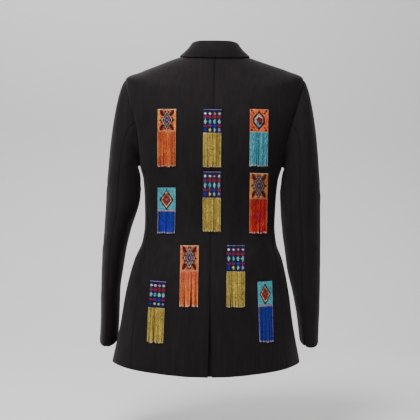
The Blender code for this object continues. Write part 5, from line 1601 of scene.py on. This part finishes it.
def bead_shells(centres, axes, faces_out, radius, length):
    """Beads as barrels: at each of three places along the axis a ring of points,
    centre + axis * place + radius * (side cos a + up sin a), closed at both ends."""
    side = unit(np.cross(axes, faces_out))
    up = np.cross(side, axes)
    centres, axes, side, up = (a[:, None, None] for a in (centres, axes, side, up))
    turn = (np.arange(BEAD_SIDES) * 2 * math.pi / BEAD_SIDES)[:, None]
    places, swell = np.array(BEAD_RINGS).T[:, :, None, None]
    ring = side * np.cos(turn) + up * np.sin(turn)
    points = centres + axes * (places * length) + ring * (swell * radius)
    count = len(BEAD_RINGS) * BEAD_SIDES
    far = count - BEAD_SIDES
    caps = [[3, 2, 1, 0], [5, 4, 3, 0],
            [far, far + 1, far + 2, far + 3], [far, far + 3, far + 4, far + 5]]
    one = np.concatenate([squares(len(BEAD_RINGS), BEAD_SIDES, True), caps])
    faces = one + (np.arange(len(centres)) * count)[:, None, None]
    return points.reshape(-1, 3), faces.reshape(-1, 4), count


def string_beads(kind, patch, places, step, size, colours, luck, material, replaces):
    """One piece of many beads. places are down, across and lift on the patch, step is how
    far down and across a short way along the thread goes, and size is a bead's radius and
    length. Each bead is a little lighter or darker than its colour."""
    down, across, lift = places
    centres, normals = seen_from_behind(patch, down, across, lift)
    ahead = seen_from_behind(patch, down + step[0], across + step[1], lift)[0]
    points, faces, count = bead_shells(centres, unit(ahead - centres), normals, *size)
    made = mesh_object(kind + patch["name"], points, faces)
    shade = np.clip(luck.normal(1.0, SHADE_SPREAD, (len(colours), 1)), *SHADE_LIMITS)
    paint = np.ones((len(colours), 4))
    paint[:, :3] = np.clip(colours * shade, 0.0, 1.0)
    layer = made.data.color_attributes.new("bead_colour", "FLOAT_COLOR", "POINT")
    layer.data.foreach_set("color", np.repeat(paint, count, axis=0).astype(np.float32).ravel())
    dress(made, material, [replaces + patch["name"]])


def weave_panel(patch, seed, material):
    """Loomed beads: rows of beads lying across, side by side, on the back's surface."""
    luck = np.random.default_rng(seed)
    wide = int(round(patch["wide"] / BEAD_PITCH))
    high = int(round(patch["high"] / BEAD_ROW))
    column, row = (a.ravel() for a in np.meshgrid(np.arange(wide), np.arange(high), indexing="ij"))
    across = ((column + 0.5) / wide - 0.5) * patch["wide"]
    across = across + luck.normal(0, BEAD_WANDERS[0], column.shape)
    down = (row + 0.5) / high * patch["high"] + luck.normal(0, BEAD_WANDERS[1], row.shape)
    lift = np.full(across.shape, PANEL_LIFT + BEAD_RADIUS)
    motif, ground = MOTIFS[patch["motif"]]
    names = motif(column, row, wide, high)
    if patch["strand"] == "red":
        names[names == ground] = "amber"
        ground = "amber"
    colours = np.array([BEAD_COLOURS[name] for name in names])
    string_beads("loomed_beads_", patch, (down, across, lift), (0, SHORT_WAY),
                 (BEAD_RADIUS, patch["wide"] / wide), colours, luck, material,
                 "bead_panel_")


def hang_fringe(patch, seed, material):
    """Strings of beads from the panel's lower edge. They hang in bunches that draw together
    with the square of the way down; outer strings, and each string's ends, are paler."""
    luck = np.random.default_rng(seed)
    strings = int(round(patch["wide"] / STRING_PITCH))
    beads = int(patch["fringe"] / STRING_BEAD)
    places = ((np.arange(strings) + 0.5) / strings - 0.5) * patch["wide"]
    bunch = np.cumsum(luck.random(strings) < NEW_BUNCH)
    drawn = np.array([places[bunch == one].mean() for one in bunch]) - places
    drop = luck.uniform(*STRING_ENDS, strings)
    sway = luck.normal(0, STRING_SWAYS, strings)
    lean = luck.uniform(0, STRING_LEANS, strings)
    tint = np.clip(luck.normal(1.0, STRING_SHADE, strings), *STRING_SHADE_LIMITS)
    string, bead = np.meshgrid(np.arange(strings), np.arange(beads), indexing="ij")
    keep = (bead + 1) * STRING_BEAD <= patch["fringe"] * drop[string]
    string = string[keep]
    bead = bead[keep]
    share = (bead + 0.5) / beads
    across = places[string] + (drawn[string] * STRING_GATHERS + sway[string]) * share ** 2
    down = patch["high"] + (bead + 0.5) * STRING_BEAD
    ripple = STRING_RIPPLE * np.sin(bead * RIPPLE_BY_BEAD + string * RIPPLE_BY_STRING)
    lift = STRING_LIFT + STRING_RADIUS + lean[string] + ripple
    last = np.array([bead[string == one].max() for one in range(strings)])[string]
    outer = (string == 0) | (string == strings - 1)
    pale = PALE_LAST * (bead >= last - 1) + PALE_FIRST * (bead == 0) + PALE_OUTER * outer
    colours = np.array(BEAD_COLOURS[STRING_COLOURS[patch["strand"]]]) * tint[string][:, None]
    colours = colours + (np.array(BEAD_COLOURS["cream"]) - colours) * pale[:, None]
    string_beads("strung_beads_", patch, (down, across, lift), (SHORT_WAY, 0),
                 (STRING_RADIUS, STRING_BEAD), colours, luck, material,
                 "fringe_")


def glaze_group():
    """Bead glaze: the dye comes out a little lighter or darker over some centimetres, and
    small specks make the surface duller in places."""
    group, start, end = shader_group(
        "Bead Glaze", {"Bead Colour": "Color", "Place": "Vector", "Dye Patches per Metre": 45.0,
                       "Specks per Metre": 900.0},
        {"Colour": "Color", "Dullness": "Float"})
    dye = noise(group, start["Place"], start["Dye Patches per Metre"], 1.0)
    specks = noise(group, start["Place"], start["Specks per Metre"], 2.0)
    dyed = add_node(group, "HueSaturation", {
        "Hue": scaled(group, dye, 0.04, 0.48), "Value": scaled(group, dye, 0.60, 0.70),
        "Color": start["Bead Colour"]})
    fill(group, end, {"Colour": dyed["Color"], "Dullness": scaled(group, specks, 0.30, 0.24)})
    return group


def bead_finish(name, glaze, metal):
    """Glazed glass beads that take their colour from the attribute bead_colour."""
    material, tree, surface = new_finish(name)
    feeds = {"Bead Colour": attribute(tree, "bead_colour")["Color"], "Place": object_place(tree)}
    glazed = add_node(tree, "Group", feeds, node_tree=glaze)
    fill(tree, surface, {
        "Base Color": glazed["Colour"], "Roughness": glazed["Dullness"], "IOR": 1.52,
        "Specular IOR Level": 0.30, "Metallic": metal, "Coat Weight": 0.15,
        "Coat Roughness": 0.12})
    return material


def sew_patches():
    glaze = glaze_group()
    glass = bead_finish("seed_beads", glaze, 0.0)
    lustred = bead_finish("lustred_beads", glaze, LUSTRE)
    for number, patch in enumerate(named(PATCH_COLUMNS, PATCH_ROWS)):
        weave_panel(patch, PANEL_SEED + number, glass)
        hang_fringe(patch, FRINGE_SEED + number, lustred if patch["strand"] == "gold" else glass)


sew_patches()

# Stage: a floor that curves up into a backdrop, soft lights and the camera
SWEEP_HALF_WIDTH = 7.0
SWEEP_NEAR_Y = 4.0
SWEEP_BEND_Y = -1.6
SWEEP_RADIUS = 0.9
SWEEP_STEPS = 24
FLOOR_Z = -0.86
SWEEP_TOP_Z = 4.5
JACKET_MIDDLE = (0.0, -0.08, -0.3)
LIGHT_COLUMNS = ("name", "place", "aim", "size", "power")
LIGHT_ROWS = (
    ("top_light", (0.75, 1.45, 1.9), JACKET_MIDDLE, 1.1, 112),
    ("fill_light", (-1.7, 2.2, 0.4), JACKET_MIDDLE, 1.6, 7),
    ("side_light", (2.2, 0.6, 0.9), JACKET_MIDDLE, 1.2, 7),
    ("front_light", (0.8, -1.9, 1.8), (0.0, -0.1, -0.3), 1.6, 40),
    ("backdrop_light", (0.0, -0.9, 2.8), (0.0, -2.4, -0.4), 2.4, 60),
)
SKY_COLOUR = (0.92, 0.93, 0.95, 1.0)
SKY_STRENGTH = 0.20
CAMERA_PLACE = (0.0077, 2.125, -0.338)
CAMERA_TURNS = (90.0, -0.6, 180.0)
CAMERA_LENS = 83.0
CAMERA_SENSOR = 36.0


def smooth_sweep():
    """A straight run, a quarter circle and a rise."""
    turn = np.linspace(0, math.pi / 2, SWEEP_STEPS + 1)
    back_y = SWEEP_BEND_Y - SWEEP_RADIUS
    y = np.concatenate([[SWEEP_NEAR_Y], SWEEP_BEND_Y - SWEEP_RADIUS * np.sin(turn), [back_y]])
    z = np.concatenate([[FLOOR_Z], FLOOR_Z + SWEEP_RADIUS * (1 - np.cos(turn)), [SWEEP_TOP_Z]])
    points = [(x, *place) for place in zip(y, z) for x in (-SWEEP_HALF_WIDTH, SWEEP_HALF_WIDTH)]
    made = mesh_object("studio_floor", points, squares(len(y), 2)[:, ::-1])
    made.data.materials.append(paper_finish())


def soft_light(light):
    """A square light at its place, turned towards what it is aimed at."""
    data = bpy.data.lights.new(light["name"], "AREA")
    data.shape = "SQUARE"
    data.size = light["size"]
    data.energy = light["power"]
    made = link(light["name"], data)
    made.location = light["place"]
    x, y, z = np.array(light["aim"]) - np.array(light["place"])
    made.rotation_euler = (math.atan2(math.hypot(x, y), -z), 0.0, math.atan2(y, x) - math.pi / 2)


smooth_sweep()
for light in named(LIGHT_COLUMNS, LIGHT_ROWS):
    soft_light(light)
world = bpy.data.worlds.new("studio")
world.use_nodes = True
fill(world.node_tree, world.node_tree.nodes["Background"].inputs,
     {"Color": SKY_COLOUR, "Strength": SKY_STRENGTH})
bpy.context.scene.world = world

optics = bpy.data.cameras.new("camera")
optics.lens = CAMERA_LENS
optics.sensor_width = CAMERA_SENSOR
camera = link("camera", optics)
camera.location = CAMERA_PLACE
camera.rotation_euler = tuple(map(math.radians, CAMERA_TURNS))
bpy.context.scene.camera = camera
